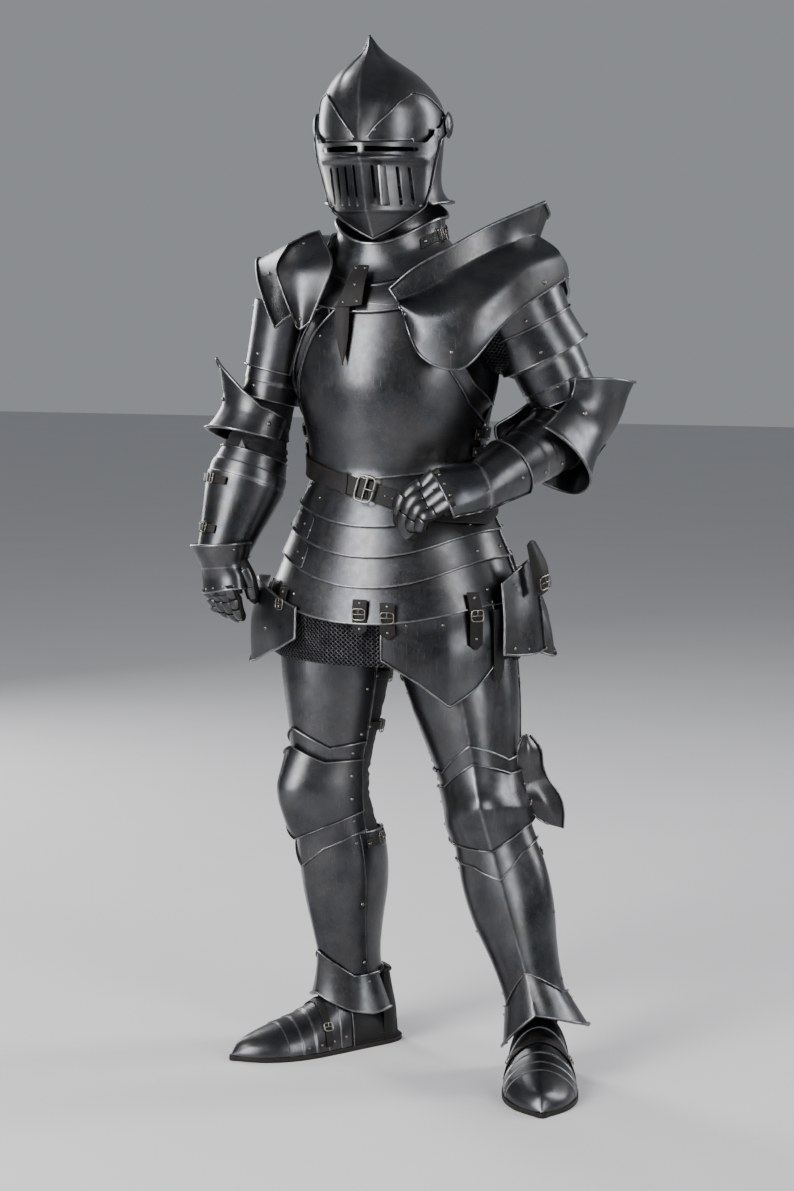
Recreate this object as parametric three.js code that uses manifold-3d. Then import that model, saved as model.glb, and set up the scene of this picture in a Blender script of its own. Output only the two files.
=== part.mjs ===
// A suit of blackened plate armour, worn open and hollow in a standing pose: closed helmet with a pivoting
// visor, gorget, globose breastplate, four fauld hoops, tassets, full arm and leg harness, sabatons and the
// mail and padded cloth that fills the joints. Millimetres, +Z up, the front faces -Y, the wearer's left is +X.
// The model is laid out from the floor and then lowered so that its origin is at the base of the neck.
import * as THREE from "three";
import { mergeVertices } from "three/addons/utils/BufferGeometryUtils.js";
import Module from "manifold-3d";

const wasm = await Module();
wasm.setup();

// Driving dimensions
const NECK_HEIGHT = 1470;
const STEEL = 1.6;
const CLOTH = 3;
const LEATHER = 4;
const GAP = 0.9;
const STEP = STEEL + GAP;
const HEAD_YAW = 7;
const CUT_SWELL = 0.4;

const DEG = Math.PI / 180;
const v3 = (x, y, z) => new THREE.Vector3(x, y, z);

// The other columns of a table at a value of its first column, on a smooth curve through its rows.
function read(table, at) {
  const last = table.length - 1;
  if (at <= table[0][0]) return table[0].slice(1);
  if (at >= table[last][0]) return table[last].slice(1);
  let i = 0;
  while (table[i + 1][0] < at) i++;
  const span = table[i + 1][0] - table[i][0];
  const t = (at - table[i][0]) / span;
  const slope = (row, column) => {
    const a = table[Math.max(row - 1, 0)];
    const b = table[Math.min(row + 1, last)];
    return (b[column] - a[column]) / (b[0] - a[0]);
  };
  return table[i].slice(1).map((value, k) => {
    const next = table[i + 1][k + 1];
    const rise = slope(i, k + 1) * span;
    const fall = slope(i + 1, k + 1) * span;
    return (
      value * (1 + 2 * t) * (1 - t) ** 2 + rise * t * (1 - t) ** 2 + next * t * t * (3 - 2 * t) + fall * t * t * (t - 1)
    );
  });
}

// An edge height is one number or a table of [angle, height], straight between its rows and the same on both
// sides unless it has a row with a negative angle.
function edgeHeight(edge, angle) {
  if (typeof edge === "number") return edge;
  const at = edge[0][0] < 0 ? angle : Math.abs(angle);
  if (at <= edge[0][0]) return edge[0][1];
  for (let i = 1; i < edge.length; i++)
    if (at <= edge[i][0]) {
      const [a0, h0] = edge[i - 1];
      const [a1, h1] = edge[i];
      return h0 + ((h1 - h0) * (at - a0)) / (a1 - a0);
    }
  return edge[edge.length - 1][1];
}

// A limb is an axis through its joints, rounded at the bend, with a direction that faces forward and a table of
// sections with columns [height along the axis, left, right, front, back, keel].
function limb(joints, front, sections, bend = 60) {
  const curve = new THREE.CurvePath();
  let from = joints[0];
  for (let i = 1; i < joints.length - 1; i++) {
    const before = joints[i].clone().add(joints[i - 1].clone().sub(joints[i]).setLength(bend));
    const after = joints[i].clone().add(joints[i + 1].clone().sub(joints[i]).setLength(bend));
    curve.add(new THREE.LineCurve3(from, before));
    curve.add(new THREE.QuadraticBezierCurve3(before, joints[i], after));
    from = after;
  }
  curve.add(new THREE.LineCurve3(from, joints[joints.length - 1]));
  const length = curve.getLength();
  const frameAt = (height) => {
    const u = Math.min(Math.max(height / length, 0), 1);
    const up = curve.getTangentAt(u);
    const centre = curve.getPointAt(u).addScaledVector(up, height - u * length);
    const left = up.clone().cross(front).normalize();
    return { centre, up, left, ahead: left.clone().cross(up).normalize() };
  };
  const point = (height, angle, out, table = sections) => {
    const [leftReach, rightReach, frontReach, backReach, keel = 0] = read(table, height);
    const { centre, left, ahead } = frameAt(height);
    const s = Math.sin(angle * DEG);
    const c = Math.cos(angle * DEG);
    const ridge = keel * Math.max(0, 1 - Math.abs(angle) / 40);
    return centre
      .addScaledVector(left, ((s > 0 ? leftReach : rightReach) + out) * s)
      .addScaledVector(ahead, ((c > 0 ? frontReach : backReach) + out) * c + ridge);
  };
  return { point, frameAt, length };
}

// A grid of points on a limb, between two edges and two angles. out is a number or a table of [0 to 1, offset].
function wrap(on, { from, to, columns, rows, low, high, out = 0, sections, spread = 1 }) {
  const closed = to - from >= 360;
  const grid = [];
  for (let r = 0; r <= rows; r++) {
    const line = [];
    for (let c = 0; c < columns + (closed ? 0 : 1); c++) {
      const angle = from + ((to - from) * c) / columns;
      const turned = angle > 180 ? angle - 360 : angle;
      const bottom = edgeHeight(low, turned);
      const top = edgeHeight(high, turned);
      const offset = typeof out === "number" ? out : read(out, r / rows)[0];
      const share = 1 - (1 - r / rows) ** spread;
      line.push(on.point(bottom + (top - bottom) * share, turned, offset, sections));
    }
    grid.push(line);
  }
  return { grid, closed };
}

// A grid through a net of control points, smooth along both ways. Each station is one line across the net.
function drape(stations, columns, rows) {
  const lines = stations.map((s) => new THREE.CatmullRomCurve3(s, false, "centripetal").getPoints(rows));
  const grid = [];
  for (let r = 0; r <= rows; r++)
    grid.push(new THREE.CatmullRomCurve3(lines.map((l) => l[r]), false, "centripetal").getPoints(columns));
  return { grid, closed: false };
}

function normalsOf(grid, closed) {
  const rows = grid.length;
  const columns = grid[0].length;
  const rowAt = (r) => grid[Math.min(Math.max(r, 0), rows - 1)];
  const columnAt = (line, c) =>
    closed ? line[(c + columns) % columns] : line[Math.min(Math.max(c, 0), columns - 1)];
  const raw = grid.map((line, r) =>
    line.map((_, c) => {
      const across = columnAt(line, c + 1).clone().sub(columnAt(line, c - 1));
      const along = rowAt(r + 1)[c].clone().sub(rowAt(r - 1)[c]);
      return across.cross(along);
    }),
  );
  return raw.map((line, r) =>
    line.map((n) => {
      if (n.length() > 1e-3) return n.clone().normalize();
      const near = raw[r === 0 ? 1 : rows - 2];
      return near.reduce((sum, m) => sum.add(m.clone().normalize()), v3(0, 0, 0)).normalize();
    }),
  );
}

const isPole = (line) => line[0].distanceTo(line[Math.floor(line.length / 2)]) < 1e-3;

// A wall of even thickness under a grid of points, as a closed solid. swell grows it on every side.
function wallSolid({ grid, closed, inward = 0 }, wall, swell = 0) {
  const normals = normalsOf(grid, closed);
  const middle = v3(0, 0, 0);
  grid.flat().forEach((p) => middle.addScaledVector(p, 1 / (grid.length * grid[0].length)));
  let facing = 0;
  grid.forEach((line, r) => line.forEach((p, c) => (facing += normals[r][c].dot(p.clone().sub(middle)))));
  const side = inward || Math.sign(facing);
  const grown = grid.map((line) => line.map((p) => p.clone()));
  if (swell) {
    const push = (p, q) => (p.distanceTo(q) > 1e-3 ? p.clone().sub(q).setLength(swell) : v3(0, 0, 0));
    const last = grid.length - 1;
    if (!isPole(grid[0])) grid[0].forEach((p, c) => grown[0][c].add(push(p, grid[1][c])));
    if (!isPole(grid[last])) grid[last].forEach((p, c) => grown[last][c].add(push(p, grid[last - 1][c])));
    if (!closed)
      grid.forEach((line, r) => {
        const end = line.length - 1;
        grown[r][0].add(push(line[0], line[1]));
        grown[r][end].add(push(line[end], line[end - 1]));
      });
  }
  const outer = grown.map((line, r) => line.map((p, c) => p.clone().addScaledVector(normals[r][c], side * swell)));
  const inner = grown.map((line, r) =>
    line.map((p, c) => p.clone().addScaledVector(normals[r][c], -side * (wall + swell))),
  );
  const soup = [];
  const quad = (a, b, c, d) => soup.push(a, b, c, a, c, d);
  const columns = grid[0].length;
  const spans = closed ? columns : columns - 1;
  for (let r = 0; r < grid.length - 1; r++)
    for (let c = 0; c < spans; c++) {
      const n = (c + 1) % columns;
      quad(outer[r][c], outer[r][n], outer[r + 1][n], outer[r + 1][c]);
      quad(inner[r][c], inner[r + 1][c], inner[r + 1][n], inner[r][n]);
    }
  const rim = (r, flip) => {
    for (let c = 0; c < spans; c++) {
      const n = (c + 1) % columns;
      if (flip) quad(outer[r][n], outer[r][c], inner[r][c], inner[r][n]);
      else quad(outer[r][c], outer[r][n], inner[r][n], inner[r][c]);
    }
  };
  if (!isPole(grid[0])) rim(0, true);
  if (!isPole(grid[grid.length - 1])) rim(grid.length - 1, false);
  if (!closed)
    for (let r = 0; r < grid.length - 1; r++) {
      const e = columns - 1;
      quad(outer[r][0], outer[r + 1][0], inner[r + 1][0], inner[r][0]);
      quad(outer[r + 1][e], outer[r][e], inner[r][e], inner[r + 1][e]);
    }
  return solidFrom(soup);
}

// A closed solid from loose triangles, with its faces turned out.
function solidFrom(soup) {
  const flat = new Float32Array(soup.flatMap((p) => [p.x, p.y, p.z]));
  const loose = new THREE.BufferGeometry().setAttribute("position", new THREE.BufferAttribute(flat, 3));
  const merged = mergeVertices(loose, 1e-3);
  const points = merged.attributes.position.array;
  let faces = [];
  const index = merged.index.array;
  for (let i = 0; i < index.length; i += 3) {
    const [a, b, c] = index.slice(i, i + 3);
    if (a !== b && b !== c && c !== a) faces.push([a, b, c]);
  }
  const at = (i) => v3(points[3 * i], points[3 * i + 1], points[3 * i + 2]);
  const volume = faces.reduce((sum, [a, b, c]) => sum + at(a).dot(at(b).cross(at(c))), 0);
  if (volume < 0) faces = faces.map(([a, b, c]) => [a, c, b]);
  return new wasm.Manifold(
    new wasm.Mesh({ numProp: 3, vertProperties: points, triVerts: new Uint32Array(faces.flat()) }),
  );
}

// A three.js geometry as a solid, after it is moved by a matrix.
function solidOf(geometry, matrix = new THREE.Matrix4()) {
  const loose = (geometry.index ? geometry.toNonIndexed() : geometry).applyMatrix4(matrix);
  const position = loose.attributes.position;
  return solidFrom(Array.from({ length: position.count }, (_, i) => v3().fromBufferAttribute(position, i)));
}

const placed = (x, y, z, rx = 0, ry = 0, rz = 0) =>
  new THREE.Matrix4()
    .makeRotationFromEuler(new THREE.Euler(rx * DEG, ry * DEG, rz * DEG))
    .setPosition(x, y, z);

// Finishes, one for each material of the suit
const FINISHES = {
  steel: new THREE.MeshStandardMaterial({ color: 0x2e2f31, roughness: 0.35, metalness: 0.95 }),
  leather: new THREE.MeshStandardMaterial({ color: 0x1d1815, roughness: 0.7, metalness: 0 }),
  mail: new THREE.MeshStandardMaterial({ color: 0x17181a, roughness: 0.5, metalness: 0.8 }),
  cloth: new THREE.MeshStandardMaterial({ color: 0x0f0f11, roughness: 0.95, metalness: 0 }),
};

// Every piece is kept as its solid and as a slightly grown one, which cuts the pieces that must clear it.
const pieces = new Map();

function keep(name, finish, solid, grown) {
  pieces.set(name, { finish, solid, grown });
}

// A walled piece, cleared of the pieces that lie against it and joined with any solids given.
function plate(name, surface, { finish = "steel", wall = STEEL, clear = [], cut = [], join = [] } = {}) {
  let solid = wallSolid(surface, wall);
  let grown = wallSolid(surface, wall, CUT_SWELL);
  join.forEach((s) => {
    solid = solid.add(s.solid);
    grown = grown.add(s.grown);
  });
  clear.forEach((other) => (solid = solid.subtract(pieces.get(other).grown)));
  cut.forEach((s) => (solid = solid.subtract(s)));
  const largest = solid.decompose().sort((a, b) => b.volume() - a.volume())[0];
  keep(name, finish, largest, grown);
}

// A stud on one piece that reaches across the gap to another. from lies on the first piece, to on the second.
function stud(on, neighbour, from, to, radius = 3) {
  const along = to.clone().sub(from);
  const length = along.length() + 1.2;
  const middle = from.clone().addScaledVector(along.normalize(), length / 2 - 1.2);
  const turn = new THREE.Quaternion().setFromUnitVectors(v3(0, 1, 0), along);
  const rod = solidOf(
    new THREE.CylinderGeometry(radius, radius, length, 6),
    new THREE.Matrix4().compose(middle, turn, v3(1, 1, 1)),
  ).subtract(pieces.get(neighbour).grown);
  const piece = pieces.get(on);
  piece.solid = piece.solid.add(rod).decompose().sort((a, b) => b.volume() - a.volume())[0];
}

// Torso

// Columns of every section table: height, left, right, front, back, keel
const TORSO_SECTIONS = [
  [800, 252, 252, 198, 188],
  [850, 242, 242, 190, 180],
  [900, 226, 226, 182, 170],
  [950, 208, 208, 172, 158],
  [1000, 190, 190, 160, 145],
  [1050, 170, 170, 147, 130],
  [1085, 160, 160, 141, 122],
  [1120, 160, 160, 147, 120],
  [1180, 170, 170, 162, 124],
  [1250, 182, 182, 174, 130],
  [1320, 186, 186, 170, 134],
  [1380, 180, 180, 154, 134],
  [1430, 160, 160, 130, 126],
  [1470, 130, 130, 112, 110],
];
const torso = limb([v3(0, 0, 0), v3(0, 0, 1500)], v3(0, -1, 0), TORSO_SECTIONS);

const WAIST = 1092;
const ARMHOLE = [
  [0, 1396],
  [18, 1392],
  [34, 1345],
  [50, 1275],
  [66, 1215],
  [88, 1176],
];

// The breastplate's lower edge turns out over the fauld.
plate(
  "breastplate",
  wrap(torso, {
    from: -88,
    to: 88,
    columns: 16,
    rows: 5,
    low: [
      [0, WAIST - 8],
      [88, WAIST + 22],
    ],
    high: ARMHOLE,
    out: [
      [0, 5.5],
      [0.12, 3],
      [0.4, 2],
      [1, 2],
    ],
  }),
);

const GUSSET_EDGE = ARMHOLE.map(([angle, height]) => [angle, Math.min(height + 62, 1405)]);
for (const [name, from, to] of [
  ["gusset_left", 26, 92],
  ["gusset_right", -92, -26],
])
  plate(
    name,
    wrap(torso, {
      from,
      to,
      columns: 7,
      rows: 2,
      low: ARMHOLE.map(([angle, height]) => [angle, height - 14]),
      high: GUSSET_EDGE,
      out: [
        [0, 2 - STEP],
        [0.6, 2 - STEP],
        [1, 6],
      ],
    }),
    { clear: ["breastplate"] },
  );

plate(
  "backplate",
  wrap(torso, {
    from: 84,
    to: 276,
    columns: 12,
    rows: 3,
    low: WAIST + 18,
    high: [
      [84, 1176],
      [110, 1300],
      [130, 1400],
      [150, 1440],
      [180, 1440],
    ],
    out: [
      [0, 2 + STEP + 3],
      [0.2, 2 + STEP],
      [1, 2 + STEP],
    ],
  }),
  { clear: ["breastplate", "gusset_left", "gusset_right"] },
);

// Fauld hoops. Columns: name, front top, front bottom, side top, side bottom
const HOOPS = [
  ["fauld_1", 1096, 1000, 1124, 1032],
  ["fauld_2", 1010, 946, 1042, 988],
  ["fauld_3", 956, 892, 998, 940],
  ["fauld_4", 902, 828, 950, 862],
];
HOOPS.forEach(([name, frontTop, frontBottom, sideTop, sideBottom]) =>
  plate(
    name,
    wrap(torso, {
      from: -265,
      to: 93,
      columns: 20,
      rows: 2,
      low: [
        [0, frontBottom],
        [35, (frontBottom + sideBottom) / 2],
        [70, sideBottom],
        [180, sideBottom],
      ],
      high: [
        [0, frontTop],
        [35, (frontTop + sideTop) / 2],
        [70, sideTop],
        [180, sideTop],
      ],
      out: [
        [0, 2],
        [0.6, 2 - STEP - 0.5],
        [1, 2 - STEP - 0.9],
      ],
    }),
    { clear: name === "fauld_1" ? ["breastplate", "backplate"] : [] },
  ),
);

// Waist belt, which sags towards the wearer's left hip
const BELT_WIDTH = 34;
const BELT_LOW = [
  [-180, 1092],
  [-90, 1090],
  [-40, 1072],
  [0, 1048],
  [40, 1010],
  [75, 1000],
  [110, 1030],
  [150, 1080],
  [180, 1092],
];
const beltAt = (rise) => BELT_LOW.map(([angle, height]) => [angle, height + rise]);
plate(
  "waist_belt",
  wrap(torso, { from: -180, to: 180, columns: 16, rows: 1, low: BELT_LOW, high: beltAt(BELT_WIDTH), out: 10.4 }),
  { finish: "leather", wall: LEATHER - 1, clear: ["breastplate", "backplate", "fauld_1"] },
);
// Gorget
const NECK_RING = v3(-8, -8, 0);
// Columns: height, left, right, front, back. Heights are where the collar's sides lie.
const gorgetRings = [
  // left and right reach, front reach, back reach, side height, front height, back height
  [96, 100, 122, 1548, 1502, 1584],
  [97, 101, 116, 1528, 1482, 1560],
  [104, 108, 112, 1508, 1460, 1530],
  [132, 124, 124, 1484, 1432, 1490],
  [168, 142, 136, 1458, 1404, 1458],
  [188, 151, 139, 1436, 1382, 1432],
];
function collarHalf(from, to, columns, reachOut = 0) {
  const grid = gorgetRings.map(([side, front, back, sideHeight, frontHeight, backHeight]) =>
    Array.from({ length: columns + 1 }, (_, i) => {
      const angle = (from + ((to - from) * i) / columns) * DEG;
      const s = Math.sin(angle);
      const c = Math.cos(angle);
      const rise = (c > 0 ? frontHeight : backHeight) - sideHeight;
      return v3(
        NECK_RING.x + (side + reachOut) * s,
        NECK_RING.y - ((c > 0 ? front : back) + reachOut) * c,
        sideHeight + rise * c * c,
      );
    }),
  );
  return { grid: grid.reverse(), closed: false };
}
plate("gorget_front", collarHalf(-89.6, 89.6, 12), { clear: ["breastplate", "gusset_left", "gusset_right"] });
plate("gorget_back", collarHalf(90, 270, 12), { clear: ["backplate"] });

// Left shoulder: one large plate with a tall turned-up guard, and two lames below it.
// Each line runs from the guard's top edge over the crease and down to the plate's lower edge.
const LEFT_SHOULDER_NET = [
  [v3(34, -158, 1418), v3(42, -165, 1402), v3(60, -180, 1366), v3(84, -182, 1318)],
  [v3(72, -132, 1474), v3(90, -152, 1444), v3(122, -194, 1380), v3(136, -180, 1288)],
  [v3(128, -88, 1530), v3(152, -112, 1486), v3(200, -158, 1420), v3(196, -160, 1298)],
  [v3(196, -34, 1566), v3(214, -52, 1512), v3(272, -96, 1455), v3(268, -110, 1372)],
  [v3(268, 30, 1588), v3(266, 22, 1522), v3(318, 8, 1478), v3(322, 6, 1436)],
  [v3(262, 92, 1560), v3(248, 84, 1516), v3(292, 98, 1458), v3(290, 104, 1404)],
  [v3(176, 122, 1536), v3(176, 126, 1498), v3(196, 156, 1430), v3(200, 160, 1346)],
  [v3(90, 130, 1502), v3(92, 134, 1478), v3(96, 158, 1414), v3(100, 162, 1350)],
];
plate("pauldron_left", drape(LEFT_SHOULDER_NET, 14, 5), { clear: ["gorget_front", "gorget_back"] });

// Right shoulder: a saddle plate with a pointed outer tip, a flap in front of it and one wide lame below.
// Each line runs from the neck outwards, and the lines run from the front over the top to the back.
const RIGHT_SHOULDER_NET = [
  [v3(-112, -156, 1394), v3(-146, -160, 1374), v3(-184, -134, 1352)],
  [v3(-98, -142, 1442), v3(-154, -144, 1432), v3(-214, -104, 1392)],
  [v3(-106, -72, 1500), v3(-168, -82, 1494), v3(-246, -68, 1444)],
  [v3(-118, -10, 1520), v3(-182, -12, 1516), v3(-268, -10, 1476)],
  [v3(-114, 52, 1506), v3(-172, 62, 1500), v3(-250, 58, 1444)],
  [v3(-104, 112, 1466), v3(-152, 132, 1446), v3(-212, 116, 1388)],
  [v3(-108, 144, 1414), v3(-142, 152, 1392), v3(-180, 138, 1350)],
];
plate("pauldron_right", drape(RIGHT_SHOULDER_NET, 12, 4), {
  clear: ["gorget_front", "gorget_back", "breastplate", "gusset_right", "backplate"],
});

const RIGHT_FLAP_NET = [
  [v3(-170, -104, 1500), v3(-176, -146, 1458), v3(-158, -162, 1418), v3(-131, -164, 1360)],
  [v3(-142, -96, 1516), v3(-126, -156, 1462), v3(-122, -172, 1420), v3(-120, -174, 1352)],
  [v3(-118, -88, 1524), v3(-70, -150, 1466), v3(-80, -168, 1418), v3(-104, -170, 1364)],
];
plate("shoulder_flap_right", drape(RIGHT_FLAP_NET, 4, 5), {
  clear: ["pauldron_right", "gorget_front", "breastplate", "gusset_right"],
});

// Arms. Heights run from the wrist through the elbow to the shoulder.
const ARMS = {
  left: [v3(226, -130, 1083), v3(325, 60, 1180), v3(205, 0, 1452)],
  right: [v3(-316, -94, 920), v3(-256, -16, 1172), v3(-196, 0, 1444)],
};
const ARM_SECTIONS_RIGHT = [
  [0, 40, 40, 38, 38],
  [60, 46, 46, 42, 42],
  [130, 52, 52, 48, 48],
  [190, 54, 54, 52, 52],
  [250, 52, 52, 52, 52],
  [310, 50, 50, 50, 50],
  [400, 52, 52, 52, 52],
  [470, 58, 58, 56, 56],
  [540, 64, 64, 62, 62],
];
const ARM_SECTIONS = [
  [0, 40, 40, 38, 38],
  [60, 46, 46, 42, 42],
  [130, 54, 54, 50, 50],
  [190, 60, 60, 56, 56],
  [250, 61, 61, 60, 60],
  [310, 61, 61, 60, 60],
  [400, 64, 64, 62, 62],
  [470, 70, 70, 68, 68],
  [540, 76, 76, 74, 74],
];
const towardsElbow = ([wrist, elbow, shoulder]) =>
  elbow.clone().sub(shoulder).normalize().add(elbow.clone().sub(wrist).normalize()).normalize();
const arms = {
  left: limb(ARMS.left, towardsElbow(ARMS.left), ARM_SECTIONS),
  right: limb(ARMS.right, towardsElbow(ARMS.right), ARM_SECTIONS_RIGHT),
};
const OUTWARD = { left: v3(0.95, -0.3, 0).normalize(), right: v3(-0.95, -0.3, 0).normalize() };

// Columns: name, side, reach in degrees to each side of the outward direction, columns, low edge, high edge,
// offset at the low edge, offset at the high edge
const UPPER_ARM_PLATES = [
  ["pauldron_lame_left_1", "left", 120, 12, 412, 505, 16, 26],
  ["pauldron_lame_left_2", "left", 120, 12, 350, 428, 24, 13],
  ["rerebrace_left", "left", 180, 18, 300, 424, 2, 11],
  ["pauldron_lame_right", "right", 120, 12, 372, 492, 8, 26],
  ["rerebrace_right", "right", 180, 18, 316, 420, 2, 6],
];
const TORSO_PLATES = ["breastplate", "gusset_left", "gusset_right", "backplate"];
UPPER_ARM_PLATES.forEach(([name, side, reach, columns, low, high, outLow, outHigh]) =>
  plate(
    name,
    wrap(limb(ARMS[side], OUTWARD[side], side === "left" ? ARM_SECTIONS : ARM_SECTIONS_RIGHT), {
      from: -reach,
      to: reach,
      columns,
      rows: 2,
      low,
      high,
      out: [
        [0, outLow],
        [1, outHigh],
      ],
    }),
    { clear: [...TORSO_PLATES, `pauldron_${side}`, ...(name.endsWith("_2") ? ["pauldron_lame_left_1"] : [])] },
  ),
);

// Couters, bell shaped over the elbow and open in its crook
const COUTERS = {
  left: {
    facing: v3(0.5, 0.76, -0.36).normalize(),
    joints: [v3(284, -12, 1128), v3(326, 60, 1204), v3(326, 84, 1310)],
    // Columns: height, left, right, front, back
    sections: [
      [0, 100, 100, 104, 96],
      [40, 86, 86, 88, 82],
      [84, 76, 76, 80, 74],
      [130, 84, 84, 90, 80],
      [176, 98, 98, 108, 90],
    ],
    low: [
      [0, 4],
      [180, -8],
    ],
    high: [
      [0, 180],
      [60, 164],
      [140, 150],
    ],
    reach: 138,
  },
  right: {
    facing: v3(-0.86, -0.5, 0).normalize(),
    joints: [v3(-274, -50, 1130), v3(-256, -24, 1196), v3(-244, -14, 1300)],
    sections: [
      [0, 74, 74, 84, 70],
      [36, 68, 68, 74, 66],
      [64, 66, 66, 72, 66],
      [110, 70, 70, 80, 68],
      [160, 76, 76, 96, 72],
    ],
    low: [
      [0, 2],
      [60, 8],
      [140, 24],
    ],
    high: [
      [0, 156],
      [40, 116],
      [80, 72],
      [140, 58],
    ],
    reach: 128,
  },
};
const VAMBRACE_SECTIONS = {
  left: [
    [0, 43, 43, 41, 41],
    [60, 50, 50, 47, 47],
    [130, 59, 59, 56, 56],
    [190, 63, 63, 60, 60],
  ],
  right: [
    [0, 46, 46, 44, 44],
    [60, 56, 56, 52, 52],
    [130, 70, 70, 64, 64],
    [165, 73, 73, 68, 68],
    [205, 62, 62, 60, 60],
  ],
};
for (const side of ["left", "right"]) {
  const { facing, joints, sections, low, high, reach } = COUTERS[side];
  const shell = limb(joints, facing, sections, 30);
  plate(`couter_${side}`, wrap(shell, { from: -reach, to: reach, columns: 14, rows: 4, low, high }), {
    clear: [`rerebrace_${side}`],
  });
  plate(
    `vambrace_${side}`,
    wrap(arms[side], {
      from: -180,
      to: 180,
      columns: 14,
      rows: 3,
      low: side === "left" ? 14 : 0,
      high: side === "left" ? 172 : 204,
      sections: VAMBRACE_SECTIONS[side],
    }),
    { clear: [`couter_${side}`] },
  );
  plate(
    `sleeve_${side}`,
    wrap(arms[side], {
      from: -180,
      to: 180,
      columns: 12,
      rows: 4,
      low: side === "left" ? 130 : 140,
      high: 470,
      out: [
        [0, side === "left" ? 1 : 3],
        [0.2, side === "left" ? -1 : 5],
        [0.4, -1.5],
        [1, -5],
      ],
    }),
    {
      finish: side === "left" ? "mail" : "cloth",
      wall: CLOTH,
      clear: [`rerebrace_${side}`, `vambrace_${side}`, `couter_${side}`, `pauldron_${side}`, ...TORSO_PLATES],
    },
  );
}

// Hands: a leather glove, the plate on the back of the hand with its cuff, and the finger plates.
// Columns: height from the cuff, left, right, back of the hand, palm
const HAND_SECTIONS = [
  [0, 54, 54, 50, 50],
  [30, 48, 48, 44, 44],
  [56, 42, 42, 36, 36],
  [90, 46, 46, 27, 24],
  [125, 46, 46, 24, 20],
  [160, 44, 44, 21, 18],
  [195, 38, 38, 17, 15],
  [215, 26, 26, 12, 10],
  [228, 0, 0, 0, 0],
];
const HANDS = {
  left: {
    joints: [v3(246, -92, 1104), v3(214, -142, 1078), v3(136, -206, 1066), v3(108, -190, 1012), v3(140, -166, 986)],
    back: v3(-0.25, -0.9, 0.35).normalize(),
  },
  right: {
    joints: [v3(-326, -102, 950), v3(-318, -106, 896), v3(-306, -116, 852), v3(-284, -116, 822), v3(-262, -112, 806)],
    back: v3(-0.9, -0.42, 0).normalize(),
  },
};
for (const side of ["left", "right"]) {
  const { joints, back } = HANDS[side];
  const hand = limb(joints, back, HAND_SECTIONS, 14);
  const tip = hand.length;
  const scale = tip / 228;
  const sections = HAND_SECTIONS.map(([height, ...reach]) => [height * scale, ...reach]);
  plate(`glove_${side}`, wrap(hand, { from: -180, to: 180, columns: 12, rows: 5, low: 50 * scale, high: tip, sections }), {
    finish: "leather",
    wall: 2,
  });
  plate(
    `gauntlet_${side}`,
    wrap(hand, { from: -120, to: 120, columns: 8, rows: 4, low: 0, high: 132 * scale, out: STEP + 0.4, sections }),
    { clear: [`vambrace_${side}`, `glove_${side}`] },
  );
  plate(
    `finger_plates_${side}`,
    wrap(hand, { from: -90, to: 90, columns: 6, rows: 3, low: 139 * scale, high: 208 * scale, out: STEP + 0.5, sections }),
    { clear: [`glove_${side}`] },
  );
}

// Helmet. Heights are above the floor, angles from the direction the helmet faces.
const HEAD_FRONT = v3(Math.sin(HEAD_YAW * DEG), -Math.cos(HEAD_YAW * DEG), 0);
const HEAD_CENTRE = v3(-24, -9, 0);
const SKULL_SECTIONS = [
  [1574, 106, 106, 118, 136, 0],
  [1590, 98, 98, 118, 117, 0],
  [1620, 99, 99, 120, 108, 0],
  [1670, 108, 108, 122, 113, 4],
  [1715, 113, 113, 124, 122, 5],
  [1760, 107, 107, 116, 118, 6],
  [1800, 83, 83, 90, 93, 7],
  [1825, 54, 54, 58, 60, 7],
  [1840, 31, 31, 34, 35, 6],
  [1855, 16, 16, 17, 18, 4],
  [1868, 8, 8, 8, 9, 1],
  [1878, 0, 0, 0, 0, 0],
];
const head = limb([HEAD_CENTRE, HEAD_CENTRE.clone().setZ(1900)], HEAD_FRONT, SKULL_SECTIONS);
const PIVOT_HEIGHT = 1715;
const PIN = 4;

// A cylinder along the visor's pivot, between two distances from the helmet's middle
function pivotPin(radius, from, to) {
  const turn = placed(HEAD_CENTRE.x, HEAD_CENTRE.y, PIVOT_HEIGHT, 0, 0, HEAD_YAW);
  const lie = placed((from + to) / 2, 0, 0, 0, 0, 90);
  return solidOf(new THREE.CylinderGeometry(radius, radius, Math.abs(to - from), 16), turn.multiply(lie));
}

plate(
  "helmet_skull",
  wrap(head, {
    from: -180,
    to: 180,
    columns: 20,
    rows: 5,
    low: [
      [0, 1692],
      [46, 1692],
      [52, 1620],
      [60, 1572],
      [90, 1578],
      [180, 1575],
    ],
    high: 1878,
    spread: 1.6,
  }),
  { clear: ["gorget_back"], cut: [pivotPin(PIN + 0.4, -140, 140)] },
);
plate(
  "helmet_brow",
  wrap(head, {
    from: -90,
    to: 90,
    columns: 10,
    rows: 2,
    low: 1685,
    high: [
      [0, 1716],
      [25, 1742],
      [50, 1756],
      [75, 1746],
      [90, 1732],
    ],
    out: 3.4,
  }),
  { clear: ["helmet_skull"], cut: [pivotPin(PIN + 0.4, -140, 140)] },
);

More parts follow.
